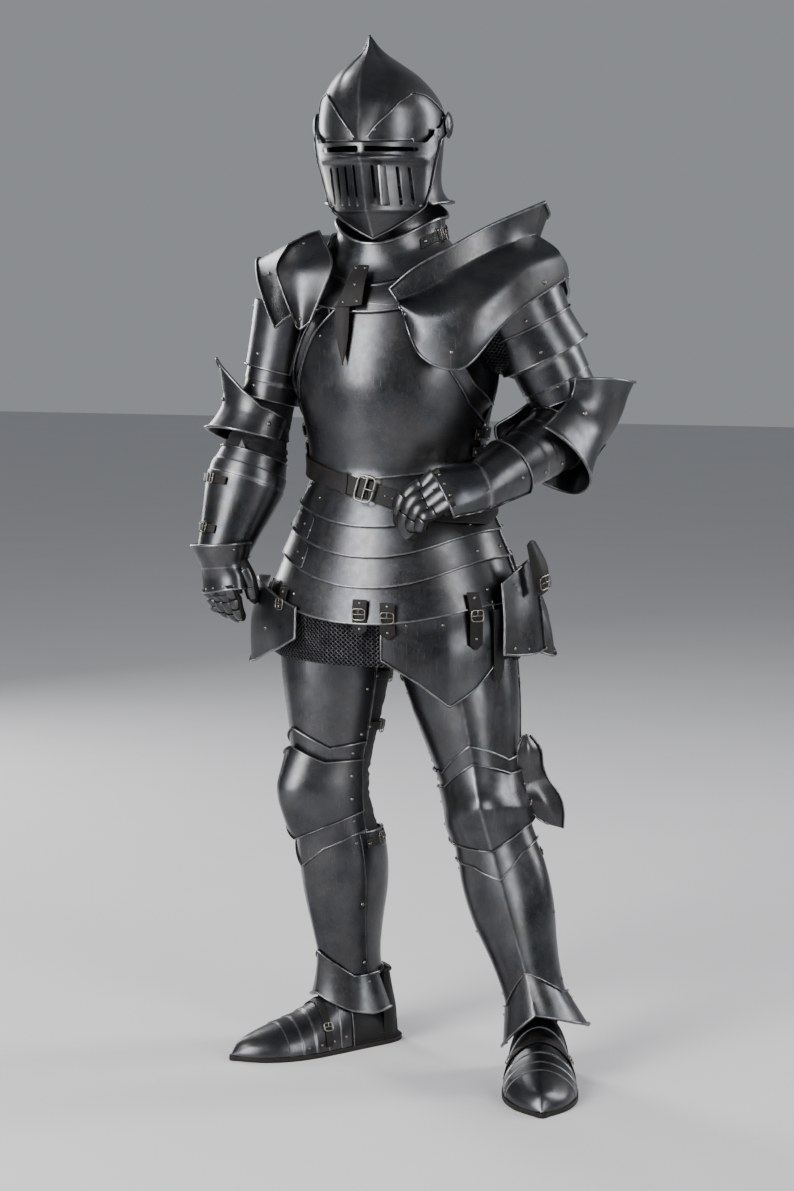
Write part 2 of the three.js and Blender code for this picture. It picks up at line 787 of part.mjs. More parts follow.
const VISOR_SECTIONS = [
  [1500, 92, 92, 126, 90, 16],
  [1515, 95, 95, 132, 90, 17],
  [1560, 101, 101, 142, 95, 8],
  [1600, 108, 108, 148, 100, 8],
  [1640, 115, 115, 150, 110, 9],
  [1655, 117, 117, 154, 112, 11],
  [1664, 118, 118, 149, 114, 9],
  [1690, 120, 120, 143, 118, 8],
  [1740, 120, 120, 133, 118, 6],
];
const SLITS = [17, 37, 57, 74];
const headBox = (x, y, z, width, depth, height) =>
  solidOf(
    new THREE.BoxGeometry(width, depth, height),
    placed(HEAD_CENTRE.x, HEAD_CENTRE.y, z, 0, 0, HEAD_YAW).multiply(placed(x, y, 0)),
  );
const visorCuts = [pivotPin(PIN + 0.6, -140, 140)];
for (const side of [-1, 1]) {
  visorCuts.push(headBox(side * 46, -128, 1668, 80, 96, 12));
  SLITS.forEach((x) => visorCuts.push(headBox(side * x, -124, 1608, 5, 100, 74)));
}
plate(
  "visor",
  wrap(head, {
    from: -99,
    to: 99,
    columns: 12,
    rows: 5,
    low: [
      [0, 1512],
      [36, 1534],
      [58, 1552],
      [63, 1600],
      [72, 1684],
      [84, 1698],
      [99, 1698],
    ],
    high: [
      [0, 1690],
      [56, 1690],
      [78, 1716],
      [86, 1734],
      [99, 1734],
    ],
    sections: VISOR_SECTIONS,
  }),
  { cut: visorCuts },
);

for (const [name, side] of [
  ["roundel_left", 1],
  ["roundel_right", -1],
]) {
  const dome = solidOf(
    new THREE.LatheGeometry(
      [
        new THREE.Vector2(0, 8),
        new THREE.Vector2(8, 7.2),
        new THREE.Vector2(14, 5),
        new THREE.Vector2(19, 2),
        new THREE.Vector2(20, 0),
        new THREE.Vector2(0, 0),
      ].reverse(),
      16,
    ),
    placed(HEAD_CENTRE.x, HEAD_CENTRE.y, PIVOT_HEIGHT, 0, 0, HEAD_YAW)
      .multiply(placed(side * 121, 0, 0))
      .multiply(placed(0, 0, 0, 0, 0, -side * 90)),
  );
  const pin = pivotPin(PIN, side * 100, side * 123);
  keep(name, "steel", dome.add(pin), dome.add(pin));
}

// Legs. Heights run from the ankle through the knee to the hip.
const LEGS = {
  left: { joints: [v3(312, -90, 105), v3(192, -52, 483), v3(92, 0, 880)], front: v3(0.26, -0.966, 0) },
  right: { joints: [v3(-88, 2, 105), v3(-110, -44, 480), v3(-114, -6, 880)], front: v3(-0.56, -0.83, 0) },
};
const LEG_SECTIONS = [
  [-60, 66, 66, 84, 60, 6],
  [0, 58, 58, 62, 58, 6],
  [60, 54, 54, 56, 56, 6],
  [120, 60, 60, 60, 68, 8],
  [200, 74, 74, 68, 88, 8],
  [270, 77, 77, 70, 92, 8],
  [330, 70, 70, 70, 80, 6],
  [390, 66, 66, 74, 70, 5],
  [450, 70, 70, 76, 76, 4],
  [520, 84, 84, 86, 90, 4],
  [600, 98, 98, 98, 100, 4],
  [700, 108, 108, 104, 106, 2],
  [800, 110, 110, 106, 108, 0],
];
const POLEYN_SECTIONS = [
  [310, 73, 73, 80, 74, 6],
  [350, 73, 73, 96, 74, 8],
  [400, 74, 74, 108, 74, 9],
  [440, 74, 74, 96, 76, 8],
  [480, 78, 78, 84, 82, 6],
];
// Columns: name, reach in degrees, columns, rows, offset at the low edge, offset at the high edge, low edge,
// high edge, sections
const LEG_PLATES = [
  [
    "greave_front", 89.3, 8, 4, 2, 2,
    [[0, 32], [90, 32]],
    [[0, 312], [90, 318]],
  ],
  [
    "ankle_plate", 112, 10, 2, 14, 5,
    [[0, 16], [50, -16], [80, -30], [112, -30]],
    [[0, 92], [30, 66], [60, 40], [112, 36]],
  ],
  [
    "cuisse", 100, 12, 4, 2, 2,
    [[0, 470], [100, 478]],
    [[-100, 716], [-40, 714], [40, 672], [100, 652]],
  ],
  [
    "poleyn_lower", 100, 12, 2, 4.6, 4.6,
    [[0, 275], [50, 318], [75, 332], [100, 340]],
    [[0, 348], [100, 366]],
  ],
  [
    "poleyn_upper", 100, 12, 2, 2 + STEP, 2 + STEP,
    [[0, 432], [100, 420]],
    [[0, 508], [50, 472], [100, 486]],
  ],
  [
    "poleyn", 98, 12, 4, 4, 4,
    [[0, 328], [60, 338], [98, 346]],
    [[0, 474], [50, 446], [98, 452]],
    POLEYN_SECTIONS,
  ],
];
// Fan plate on the outer side of the left knee, each line from top to bottom
const WING_NET = [
  [v3(236, -40, 552), v3(240, -38, 500), v3(238, -38, 446)],
  [v3(262, -20, 596), v3(270, -16, 505), v3(266, -16, 430)],
  [v3(290, 2, 602), v3(304, 6, 512), v3(298, 4, 422)],
  [v3(314, 22, 574), v3(324, 24, 502), v3(316, 22, 436)],
];
const wingSurface = drape(WING_NET, 4, 5);
const wing = { solid: wallSolid(wingSurface, STEEL), grown: wallSolid(wingSurface, STEEL, CUT_SWELL) };
for (const side of ["left", "right"]) {
  const { joints, front } = LEGS[side];
  const leg = limb(joints, front, LEG_SECTIONS, 70);
  plate(
    `greave_back_${side}`,
    wrap(leg, {
      from: 90.1,
      to: 269.9,
      columns: 8,
      rows: 4,
      low: 32,
      high: [
        [90, 318],
        [180, 300],
      ],
      out: 2,
    }),
  );
  LEG_PLATES.forEach(([name, reach, columns, rows, outLow, outHigh, low, high, sections]) => {
    const mirrored = (edge) =>
      side === "left" && edge[0][0] < 0 ? edge.map(([angle, height]) => [-angle, height]).reverse() : edge;
    plate(
      `${name}_${side}`,
      wrap(leg, {
        from: -reach,
        to: reach,
        columns,
        rows,
        low: mirrored(low),
        high: mirrored(high),
        sections,
        out: [
          [0, outLow],
          [1, outHigh],
        ],
      }),
      {
        clear: {
          ankle_plate: [`greave_front_${side}`, `greave_back_${side}`],
          poleyn_lower: [`greave_front_${side}`, `greave_back_${side}`],
          poleyn_upper: [`cuisse_${side}`],
          poleyn: [`poleyn_lower_${side}`, `poleyn_upper_${side}`],
        }[name],
        join: name === "poleyn" && side === "left" ? [wing] : [],
      },
    );
  });
  plate(
    `hose_${side}`,
    wrap(leg, {
      from: -180,
      to: 180,
      columns: 10,
      rows: 5,
      low: 300,
      high: 640,
      out: [
        [0, -5],
        [0.65, -6],
        [0.8, -1.5],
        [1, -1.5],
      ],
    }),
    { finish: "cloth", wall: CLOTH, clear: [`poleyn_upper_${side}`, `poleyn_${side}`] },
  );
}

// Feet. Heights run along the foot from the heel to the toe, and angle 0 is up.
const FEET = {
  left: { heel: v3(284, -23, 0), toe: v3(385, -325, 0) },
  right: { heel: v3(-24, 53, 0), toe: v3(-253, -200, 0) },
};
const SOLE = 9;
const FOOT_LINE = SOLE + 0.6;
// Columns: distance from the heel as a share of the length, half width, height
const FOOT_SECTIONS = [
  [0, 30, 110],
  [0.1, 42, 118],
  [0.22, 48, 120],
  [0.34, 54, 116],
  [0.46, 60, 84],
  [0.6, 65, 60],
  [0.74, 61, 46],
  [0.87, 44, 32],
  [0.95, 22, 20],
  [1, 0, 0],
];
for (const side of ["left", "right"]) {
  const { heel, toe } = FEET[side];
  const along = toe.clone().sub(heel);
  const length = along.length();
  const sections = FOOT_SECTIONS.map(([share, half, height]) => [share * length, half, half, height, height]);
  const foot = limb([heel.clone().setZ(FOOT_LINE), toe.clone().setZ(FOOT_LINE)], v3(0, 0, 1), sections);
  plate(
    `sabaton_${side}`,
    wrap(foot, { from: -90, to: 90, columns: 8, rows: 6, low: 0.34 * length, high: length }),
    { clear: [`ankle_plate_${side}`] },
  );
  const outline = [];
  const EDGE = 3;
  const steps = 8;
  for (let i = 0; i <= steps; i++) {
    const share = i / steps;
    outline.push([share * length, read(FOOT_SECTIONS, Math.min(share, 0.995))[0] + EDGE]);
  }
  const shape = new THREE.Shape([
    ...outline.map(([x, half]) => new THREE.Vector2(x, half)),
    new THREE.Vector2(length + 5, 0),
    ...outline.map(([x, half]) => new THREE.Vector2(x, -half)).reverse(),
    new THREE.Vector2(-8, 0),
  ]);
  const sole = solidOf(
    new THREE.ExtrudeGeometry(shape, { depth: SOLE, bevelEnabled: false }),
    placed(heel.x, heel.y, 0, 0, 0, Math.atan2(along.y, along.x) / DEG),
  );
  const heelLine = limb([heel.clone().addScaledVector(along, 36 / length), heel.clone().addScaledVector(along, 36 / length).setZ(200)], along.clone().normalize(), [
    [0, 38, 38, 34, 36],
    [90, 36, 36, 34, 36],
  ]);
  const heelCup = wallSolid(wrap(heelLine, { from: 80, to: 280, columns: 8, rows: 2, low: SOLE - 2, high: 66 }), 3);
  keep(`shoe_${side}`, "leather", sole
    .add(heelCup)
    .subtract(pieces.get(`ankle_plate_${side}`).grown)
    .subtract(pieces.get(`sabaton_${side}`).grown), sole);
}

// Tassets and the mail skirt, around the hips
const HIP_SECTIONS = [
  [660, 240, 240, 180, 172],
  [740, 242, 242, 184, 174],
  [800, 242, 242, 187, 176],
  [850, 242, 242, 190, 180],
  [900, 226, 226, 182, 170],
  [950, 208, 208, 172, 158],
];
plate(
  "mail_skirt",
  wrap(torso, {
    from: -180,
    to: 180,
    columns: 16,
    rows: 2,
    low: [
      [0, 748],
      [180, 752],
    ],
    high: 872,
    out: [
      [0, -6],
      [0.7, -5],
      [1, -3.8],
    ],
    sections: HIP_SECTIONS,
  }),
  { finish: "mail", wall: CLOTH, clear: ["fauld_4", "fauld_3", "cuisse_left", "cuisse_right"] },
);
plate(
  "tasset_left",
  wrap(torso, {
    from: 9,
    to: 63,
    columns: 8,
    rows: 4,
    low: [
      [9, 764],
      [24, 724],
      [38, 679],
      [50, 706],
      [63, 756],
    ],
    high: [
      [9, 836],
      [30, 846],
      [63, 866],
    ],
    sections: HIP_SECTIONS,
    out: [
      [0, 6],
      [0.5, 4],
      [0.8, -1.4],
      [1, -1.4],
    ],
  }),
  { clear: ["fauld_4", "mail_skirt"] },
);
plate(
  "tasset_left_side",
  wrap(torso, {
    from: 67,
    to: 102,
    columns: 7,
    rows: 4,
    low: [
      [67, 772],
      [84, 760],
      [102, 776],
    ],
    high: [
      [67, 912],
      [102, 918],
    ],
    sections: HIP_SECTIONS,
    out: [
      [0, 13],
      [0.55, 6],
      [1, 4.4],
    ],
  }),
  { clear: ["fauld_4", "fauld_3", "mail_skirt", "tasset_left"] },
);
const RIGHT_TASSET_NET = [
  [v3(-134, -168, 848), v3(-134, -170, 820), v3(-134, -172, 793)],
  [v3(-170, -146, 858), v3(-172, -152, 812), v3(-172, -152, 772)],
  [v3(-206, -120, 872), v3(-212, -124, 812), v3(-208, -122, 756)],
  [v3(-260, -72, 902), v3(-268, -70, 816), v3(-264, -70, 730)],
  [v3(-280, -10, 894), v3(-286, -8, 816), v3(-282, -8, 744)],
];
plate("tasset_right", drape(RIGHT_TASSET_NET, 9, 5), { clear: ["fauld_4", "fauld_3", "mail_skirt"] });

// Rivets, pins and strap ends that hold the plates to each other.
// Columns: carrier, neighbour, point on the carrier, point on the neighbour
const STUDS = [
  ["pauldron_left", "gorget_front", v3(44, -157, 1419), v3(42, -143, 1410)],
  ["pauldron_right", "gorget_front", v3(-115, -28, 1515), v3(-107, -27, 1512)],
  ["shoulder_flap_right", "pauldron_right", v3(-138, -163, 1378), v3(-140, -159, 1377)],
  ["gorget_front", "breastplate", v3(6, -150, 1391), v3(6, -148.5, 1390)],
  ["fauld_1", "breastplate", v3(-41, -138, 1088), v3(-41, -140, 1089)],
  ["fauld_1", "fauld_2", v3(172, 25, 1033), v3(171, 25, 1033)],
  ["tasset_right", "fauld_4", v3(-144, -161, 844), v3(-141, -156, 844)],
  ["pauldron_lame_left_1", "pauldron_left", v3(283, -56, 1461), v3(287, -60, 1465)],
  ["pauldron_lame_right", "pauldron_right", v3(-219, -87, 1396), v3(-219, -98, 1401)],
  ["rerebrace_right", "pauldron_lame_right", v3(-235, 44, 1275), v3(-235, 47, 1275)],
  ["couter_right", "rerebrace_right", v3(-315, 10, 1219), v3(-293, 6, 1226)],
  ["vambrace_right", "sleeve_right", v3(-220, -66, 1104), v3(-222, -66, 1104)],
  ["cuisse_right", "mail_skirt", v3(-195, -84, 770), v3(-200, -87, 770)],
  ["poleyn_right", "poleyn_upper_right", v3(-50, -85, 552), v3(-53, -83, 552)],
  ["poleyn_left", "poleyn_lower_left", v3(278, -39, 453), v3(276, -40, 452)],
  ["poleyn_right", "poleyn_lower_right", v3(-47, -82, 447), v3(-48, -80, 447)],
  ["ankle_plate_left", "sabaton_left", v3(275, -152, 82), v3(281, -149, 78)],
  ["ankle_plate_right", "sabaton_right", v3(-86, -71, 88), v3(-87, -69, 86)],
];
STUDS.forEach(([on, neighbour, from, to]) => stud(on, neighbour, from, to));

export default assemble();

function assemble() {
  const suit = new THREE.Group();
  suit.position.z = -NECK_HEIGHT;
  for (const [name, { finish, solid }] of pieces) {
    const { numProp, vertProperties, triVerts, numVert } = solid.getMesh();
    const points = new Float32Array(numVert * 3);
    for (let i = 0; i < numVert; i++) points.set(vertProperties.subarray(i * numProp, i * numProp + 3), i * 3);
    const geometry = new THREE.BufferGeometry()
      .setAttribute("position", new THREE.BufferAttribute(points, 3))
      .setIndex(new THREE.BufferAttribute(triVerts, 1));
    const mesh = new THREE.Mesh(geometry, FINISHES[finish]);
    mesh.name = name;
    suit.add(mesh);
  }
  return suit;
}
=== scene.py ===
import math

import bpy
from mathutils import Matrix, Vector, noise


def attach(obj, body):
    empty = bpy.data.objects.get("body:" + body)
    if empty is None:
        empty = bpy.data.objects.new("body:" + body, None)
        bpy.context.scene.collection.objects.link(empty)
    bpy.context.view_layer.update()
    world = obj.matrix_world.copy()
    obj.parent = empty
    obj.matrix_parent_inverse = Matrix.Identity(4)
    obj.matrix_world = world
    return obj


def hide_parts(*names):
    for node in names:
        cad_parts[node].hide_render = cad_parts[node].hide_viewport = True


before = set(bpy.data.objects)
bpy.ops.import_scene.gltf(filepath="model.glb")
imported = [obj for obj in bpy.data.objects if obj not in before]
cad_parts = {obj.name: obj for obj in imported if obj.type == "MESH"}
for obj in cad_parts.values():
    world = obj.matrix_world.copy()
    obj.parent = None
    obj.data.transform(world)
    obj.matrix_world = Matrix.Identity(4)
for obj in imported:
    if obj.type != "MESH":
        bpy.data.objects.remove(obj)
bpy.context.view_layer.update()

# Sizes of the suit, in millimetres above the floor; the frame's origin is at the base of the neck
MM = 0.001
NECK_HEIGHT = 1470.0
STEEL = 1.6
STEP = 2.5
WAIST = 1092
# Reach in degrees of the ridge down the front of a limb, and points on each rounded bend
KEEL_REACH = 40
BEND_STEPS = 24


def v3(x, y, z):
    return Vector((x, y, z))


def in_frame(p):
    return Vector((p.x * MM, p.y * MM, (p.z - NECK_HEIGHT) * MM))


# Camera, at the angle of the photograph
SENSOR = 36
CAMERA_PITCH = 7.05
CAMERA_YAW = 20


def make_camera():
    data = bpy.data.cameras.new("camera")
    data.sensor_fit = "VERTICAL"
    data.sensor_height = SENSOR
    data.lens = 2607 / 1191 * SENSOR
    data.clip_end = 60
    camera = bpy.data.objects.new("camera", data)
    bpy.context.scene.collection.objects.link(camera)
    camera.location = in_frame(v3(1641.7, -4510.5, 1450))
    camera.rotation_euler = (math.radians(90 - CAMERA_PITCH), 0, math.radians(CAMERA_YAW))
    bpy.context.scene.camera = camera


# Tables and curves
def read(table, at):
    """The other columns of a table at a value of its first column, on a smooth curve through its rows."""
    last = len(table) - 1
    if at <= table[0][0]:
        return table[0][1:]
    if at >= table[last][0]:
        return table[last][1:]
    i = 0
    while table[i + 1][0] < at:
        i += 1
    span = table[i + 1][0] - table[i][0]
    t = (at - table[i][0]) / span

    def slope(row, column):
        a = table[max(row - 1, 0)]
        b = table[min(row + 1, last)]
        return (b[column] - a[column]) / (b[0] - a[0])

    values = []
    for k in range(1, len(table[i])):
        rise = slope(i, k) * span
        fall = slope(i + 1, k) * span
        values.append(
            table[i][k] * (1 + 2 * t) * (1 - t) ** 2
            + rise * t * (1 - t) ** 2
            + table[i + 1][k] * t * t * (3 - 2 * t)
            + fall * t * t * (t - 1)
        )
    return values


def straight(table, at):
    """A table of pairs read with straight lines between its rows."""
    if at <= table[0][0]:
        return table[0][1]
    for (a0, h0), (a1, h1) in zip(table, table[1:]):
        if at <= a1:
            return h0 + (h1 - h0) * (at - a0) / (a1 - a0)
    return table[-1][1]


def edge_height(edge, angle):
    """One number, or a table of angle and height that is the same on both sides unless it has a negative angle."""
    if isinstance(edge, (int, float)):
        return edge
    return straight(edge, angle if edge[0][0] < 0 else abs(angle))


def hermite_knot(p0, p1, p2, p3, w):
    d0 = max((p1 - p0).length, 1e-6) ** 0.5
    d1 = max((p2 - p1).length, 1e-6) ** 0.5
    d2 = max((p3 - p2).length, 1e-6) ** 0.5
    m1 = ((p1 - p0) / d0 - (p2 - p0) / (d0 + d1) + (p2 - p1) / d1) * d1
    m2 = ((p2 - p1) / d1 - (p3 - p1) / (d1 + d2) + (p3 - p2) / d2) * d1
    return (
        p1 * (2 * w**3 - 3 * w**2 + 1)
        + p2 * (3 * w**2 - 2 * w**3)
        + m1 * (w**3 - 2 * w**2 + w)
        + m2 * (w**3 - w**2)
    )


def spline(points, t):
    """A point on the smooth curve through some points, for t from 0 to 1."""
    n = len(points) - 1
    at = min(max(t, 0), 1) * n
    i = min(int(at), n - 1)
    p1, p2 = points[i], points[i + 1]
    p0 = points[i - 1] if i else p1 * 2 - p2
    p3 = points[i + 2] if i + 2 <= n else p2 * 2 - p1
    return hermite_knot(p0, p1, p2, p3, at - i)


def creased(points, t, crease):
    """The same curve, with a sharp bend at one of its points."""
    if not crease:
        return spline(points, t)
    at = crease / (len(points) - 1)
    if t <= at:
        return spline(points[: crease + 1], t / at)
    return spline(points[crease:], (t - at) / (1 - at))


class Limb:
    """An axis through joints, rounded at each bend, with a facing direction and a table of sections: height along
    the axis, left, right, front and back reach, and the rise of the ridge down the front."""

    def __init__(self, joints, front, sections, bend=60):
        self.front = front
        self.sections = sections
        self.marks = []
        start = joints[0]
        for a, b, c in zip(joints, joints[1:], joints[2:]):
            before = b + (a - b).normalized() * bend
            after = b + (c - b).normalized() * bend
            self.add_line(start, before)
            self.add_bend(before, b, after)
            start = after
        self.add_line(start, joints[-1])
        self.length = self.marks[-1][0]

    def add_line(self, a, b):
        self.add_mark(a, (b - a).normalized())
        self.add_mark(b, (b - a).normalized())

    def add_bend(self, a, b, c):
        for i in range(1, BEND_STEPS + 1):
            t = i / BEND_STEPS
            p = a * (1 - t) ** 2 + b * (2 * t * (1 - t)) + c * t * t
            self.add_mark(p, ((b - a) * (1 - t) + (c - b) * t).normalized())

    def add_mark(self, p, way):
        if not self.marks:
            self.marks.append((0.0, p, way))
        elif (p - self.marks[-1][1]).length > 1e-6:
            self.marks.append((self.marks[-1][0] + (p - self.marks[-1][1]).length, p, way))

    def frame_at(self, height):
        marks = self.marks
        if height <= 0:
            centre, up = marks[0][1] + marks[0][2] * height, marks[0][2]
        elif height >= self.length:
            centre, up = marks[-1][1] + marks[-1][2] * (height - self.length), marks[-1][2]
        else:
            i = 0
            while marks[i + 1][0] < height:
                i += 1
            t = (height - marks[i][0]) / (marks[i + 1][0] - marks[i][0])
            centre = marks[i][1].lerp(marks[i + 1][1], t)
            up = marks[i][2].lerp(marks[i + 1][2], t).normalized()
        left = up.cross(self.front).normalized()
        return centre, up, left, left.cross(up).normalized()

    def point(self, height, angle, out=0.0, sections=None):
        row = read(sections or self.sections, height)
        keel = row[4] if len(row) > 4 else 0
        centre, _, left, ahead = self.frame_at(height)
        s, c = math.sin(math.radians(angle)), math.cos(math.radians(angle))
        ridge = keel * max(0.0, 1 - abs(angle) / KEEL_REACH)
        return (
            centre
            + left * (((row[0] if s > 0 else row[1]) + out) * s)
            + ahead * (((row[2] if c > 0 else row[3]) + out) * c + ridge)
        )


def on(limb, start, end, low, high, out=0.0, sections=None, spread=1.0, shape=None):
    """A surface on a limb between two angles and two edges. out is a number or a table over the height."""

    def surface(u, v):
        angle = start + (end - start) * u
        turned = angle - 360 if angle > 180 else angle
        bottom, top = edge_height(low, turned), edge_height(high, turned)
        offset = out if isinstance(out, (int, float)) else read(out, v)[0]
        height = bottom + (top - bottom) * (1 - (1 - v) ** spread)
        if shape:
            offset += shape(turned, height, v)
        return limb.point(height, turned, offset, sections)

    return surface


def net(stations, crease=None, corner=None):
    """A surface through a net of points. Each station is one line across the net; it may bend sharply at one place
    in each line and at one station."""

    def surface(u, v):
        return creased([creased(s, v, crease) for s in stations], u, corner)

    return surface


# Modelling
def deselect():
    bpy.ops.object.select_all(action="DESELECT")


def active(piece):
    deselect()
    bpy.context.view_layer.objects.active = piece
    piece.select_set(True)
    return piece


def in_edit(*steps):
    bpy.ops.object.mode_set(mode="EDIT")
    bpy.ops.mesh.select_all(action="SELECT")
    for step in steps:
        step()
    bpy.ops.object.mode_set(mode="OBJECT")


def apply_modifiers(piece):
    active(piece)
    for modifier in list(piece.modifiers):
        bpy.ops.object.modifier_apply(modifier=modifier.name)


def join(name, parts):
    deselect()
    for part in parts:
        part.select_set(True)
    bpy.context.view_layer.objects.active = parts[0]
    if len(parts) > 1:
        bpy.ops.object.join()
    piece = bpy.context.view_layer.objects.active
    piece.name = name
    return piece


def smooth(piece, angle=38):
    active(piece)
    bpy.ops.object.shade_smooth_by_angle(angle=math.radians(angle))


def dress(piece, finish, body="harness", nodes=()):
    """The piece's material, the body it moves with and the CAD nodes that it stands for."""
    piece.data.materials.clear()
    piece.data.materials.append(FINISHES[finish][0])
    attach(piece, body)
    if nodes:
        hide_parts(*nodes)
    return piece


def stops(count, size, near=2.6, closed=False, lines=()):
    """Places of the grid lines from 0 to 1, with one more close to each edge and two at each stepped line."""
    places = {i / count for i in range(count + 1)}
    if not closed:
        near = min(near / max(size, 1e-3), 0.4 / count)
        places |= {near, 1 - near}
    for line in lines:
        places = {p for p in places if abs(p - line) > 0.25 / count} | {line - 0.4 / size, line + 0.4 / size}
    return sorted(places)


# Rolled edge: its rows, the share of the given radius that is used, and how far it turns
ROLL_STEPS = 6
ROLL_SIZE = 0.78
ROLL_TURN = math.radians(215)
MERGE_DISTANCE = 0.00005
BEVEL_ANGLE = math.radians(55)


def shell(name, surface, columns, rows, roll=None, closed=False, lines=(), rise=1.8, turn=1, ridge=None):
    """A grid laid on a surface. roll gives the radius of the rolled edge on low, high, start or end; lines are the
    edges of overlapping lames from low to high, each of which stands rise above the next; ridge is the place
    across the surface of a ridge along which a bright line is painted as a highlight, through the rim attribute."""
    roll = {side: radius * ROLL_SIZE for side, radius in (roll or {}).items()}
    width = sum((surface((i + 1) / 8, 0.5) - surface(i / 8, 0.5)).length for i in range(8))
    height = sum((surface(0.5, (i + 1) / 8) - surface(0.5, i / 8)).length for i in range(8))
    us = stops(columns, width, closed=closed)
    vs = stops(rows, height, lines=lines)
    start, end = (ROLL_STEPS if roll.get(side) else 0 for side in ("start", "end"))
    low, high = (ROLL_STEPS if roll.get(side) else 0 for side in ("low", "high"))
    bounds = [0, *lines, 1]

    def lifted(u, v):
        p = surface(u, v)
        if not lines:
            return p
        i = max(k for k in range(len(bounds) - 1) if v >= bounds[k] or k == 0)
        share = (v - bounds[i]) / (bounds[i + 1] - bounds[i])
        height_out = rise * (share if rise > 0 else share - 1)
        return p + normal(u, v) * height_out

    def ways(u, v):
        e = 1e-3
        across = surface(min(u + e, 1), v) - surface(max(u - e, 0), v)
        along = surface(u, min(v + e, 1)) - surface(u, max(v - e, 0))
        return across, along

    def normal(u, v):
        across, along = ways(min(max(u, 0.002), 0.998), min(max(v, 0.002), 0.998))
        return across.cross(along).normalized() * turn

    nx, ny = len(us) - 1 + start + end, len(vs) - 1 + low + high
    deselect()
    bpy.ops.mesh.primitive_grid_add(x_subdivisions=nx, y_subdivisions=ny, size=1)
    piece = bpy.context.object
    piece.name = name
    rim = piece.data.attributes.new("rim", "FLOAT", "POINT")
    spots = []
    for vertex in piece.data.vertices:
        i, j = round((vertex.co.x + 0.5) * nx) - start, round((vertex.co.y + 0.5) * ny) - low
        before, after = max(0, -i), max(0, i - (len(us) - 1))
        under, over = max(0, -j), max(0, j - (len(vs) - 1))
        u, v = us[min(max(i, 0), len(us) - 1)], vs[min(max(j, 0), len(vs) - 1)]
        p = lifted(u, v)
        rolled = before or after or under or over
        if rolled:
            across, along = ways(u, v)
            up = normal(u, v)
            lift = 0.0
            for count, way, side in (
                (before, -across, "start"),
                (after, across, "end"),
                (under, -along, "low"),
                (over, along, "high"),
            ):
                if count:
                    angle = ROLL_TURN * count / ROLL_STEPS
                    p = p + way.normalized() * (roll[side] * math.sin(angle))
                    lift = max(lift, roll[side] * (1 - math.cos(angle)))
            p = p + up * lift
        vertex.co = in_frame(p)
        spots.append((u * width, v * height))
        on_edge = (not closed and u in (0, 1)) or v in (0, 1)
        on_line = any(abs(v - line) < 0.6 / height for line in lines)
        # Painted highlight: a line along the ridge is marked like a worn edge, so that the steel is painted bright
        # there
        on_ridge_highlight = ridge is not None and abs(u - ridge) * width < 1.5
        rim.data[vertex.index].value = 1.0 if rolled or on_edge or on_line or on_ridge_highlight else 0.0
    uv = piece.data.uv_layers.active.data
    for loop in piece.data.loops:
        uv[loop.index].uv = (spots[loop.vertex_index][0] * MM, spots[loop.vertex_index][1] * MM)
    active(piece)
    steps = [lambda: bpy.ops.mesh.remove_doubles(threshold=MERGE_DISTANCE)]
    if turn < 0:
        steps.append(bpy.ops.mesh.flip_normals)
    in_edit(*steps)
    return piece


def thicken(piece, wall, edge=0.35, cutters=()):
    solidify = piece.modifiers.new("wall", "SOLIDIFY")
    solidify.thickness = wall * MM
    solidify.offset = -1
    solidify.use_quality_normals = True
    for cutter in cutters:
        cut = piece.modifiers.new("cut", "BOOLEAN")
        cut.object = cutter
        cut.operation = "DIFFERENCE"
        cut.solver = "EXACT"
    if edge:
        bevel = piece.modifiers.new("edge", "BEVEL")
        bevel.width = edge * MM
        bevel.segments = 2
        bevel.limit_method = "ANGLE"
        bevel.angle_limit = BEVEL_ANGLE
    apply_modifiers(piece)
    for cutter in cutters:
        bpy.data.objects.remove(cutter, do_unlink=True)
    return piece


def plate(name, surface, columns, rows, nodes=(), roll=None, wall=STEEL, finish="steel", body="harness", closed=False,
          lines=(), rise=1.8, turn=1, cutters=(), edge=0.35, bare=False, ridge=None):
    """A finished plate, strap or cloth on a surface."""
    piece = shell(name, surface, columns, rows, roll, closed, lines, rise, turn, ridge=ridge)
    thicken(piece, wall, edge, cutters)
    smooth(piece)
    return piece if bare else dress(piece, finish, body, nodes)


def normal_on(surface, u, v, turn=1):
    e = 0.004
    across = surface(min(u + e, 1), v) - surface(max(u - e, 0), v)
    along = surface(u, min(v + e, 1)) - surface(u, max(v - e, 0))
    return across.cross(along).normalized() * turn, across.normalized()


RIVETS = {"harness": [], "visor": []}


def rivet(surface, u, v, size=3.4, turn=1, body="harness", lift=0.0):
    up, _ = normal_on(surface, u, v, turn)
    RIVETS[body].append((surface(u, v) + up * lift, up, size))


def rivets(surface, places, size=3.4, turn=1, body="harness", lift=0.0):
    for u, v in places:
        rivet(surface, u, v, size, turn, body, lift)


def pose_matrix(at, up, along):
    side = up.cross(along).normalized()
    front = side.cross(up).normalized()
    turned = Matrix((front, side, up)).transposed().to_4x4()
    return Matrix.Translation(in_frame(at)) @ turned


def place(piece, at, up, along):
    """Moves a finished mesh from the origin to its place, in the mesh itself."""
    piece.data.transform(pose_matrix(at, up, along))
    return piece


RIVET_DOME = 0.62
RIVET_SINK = 0.2


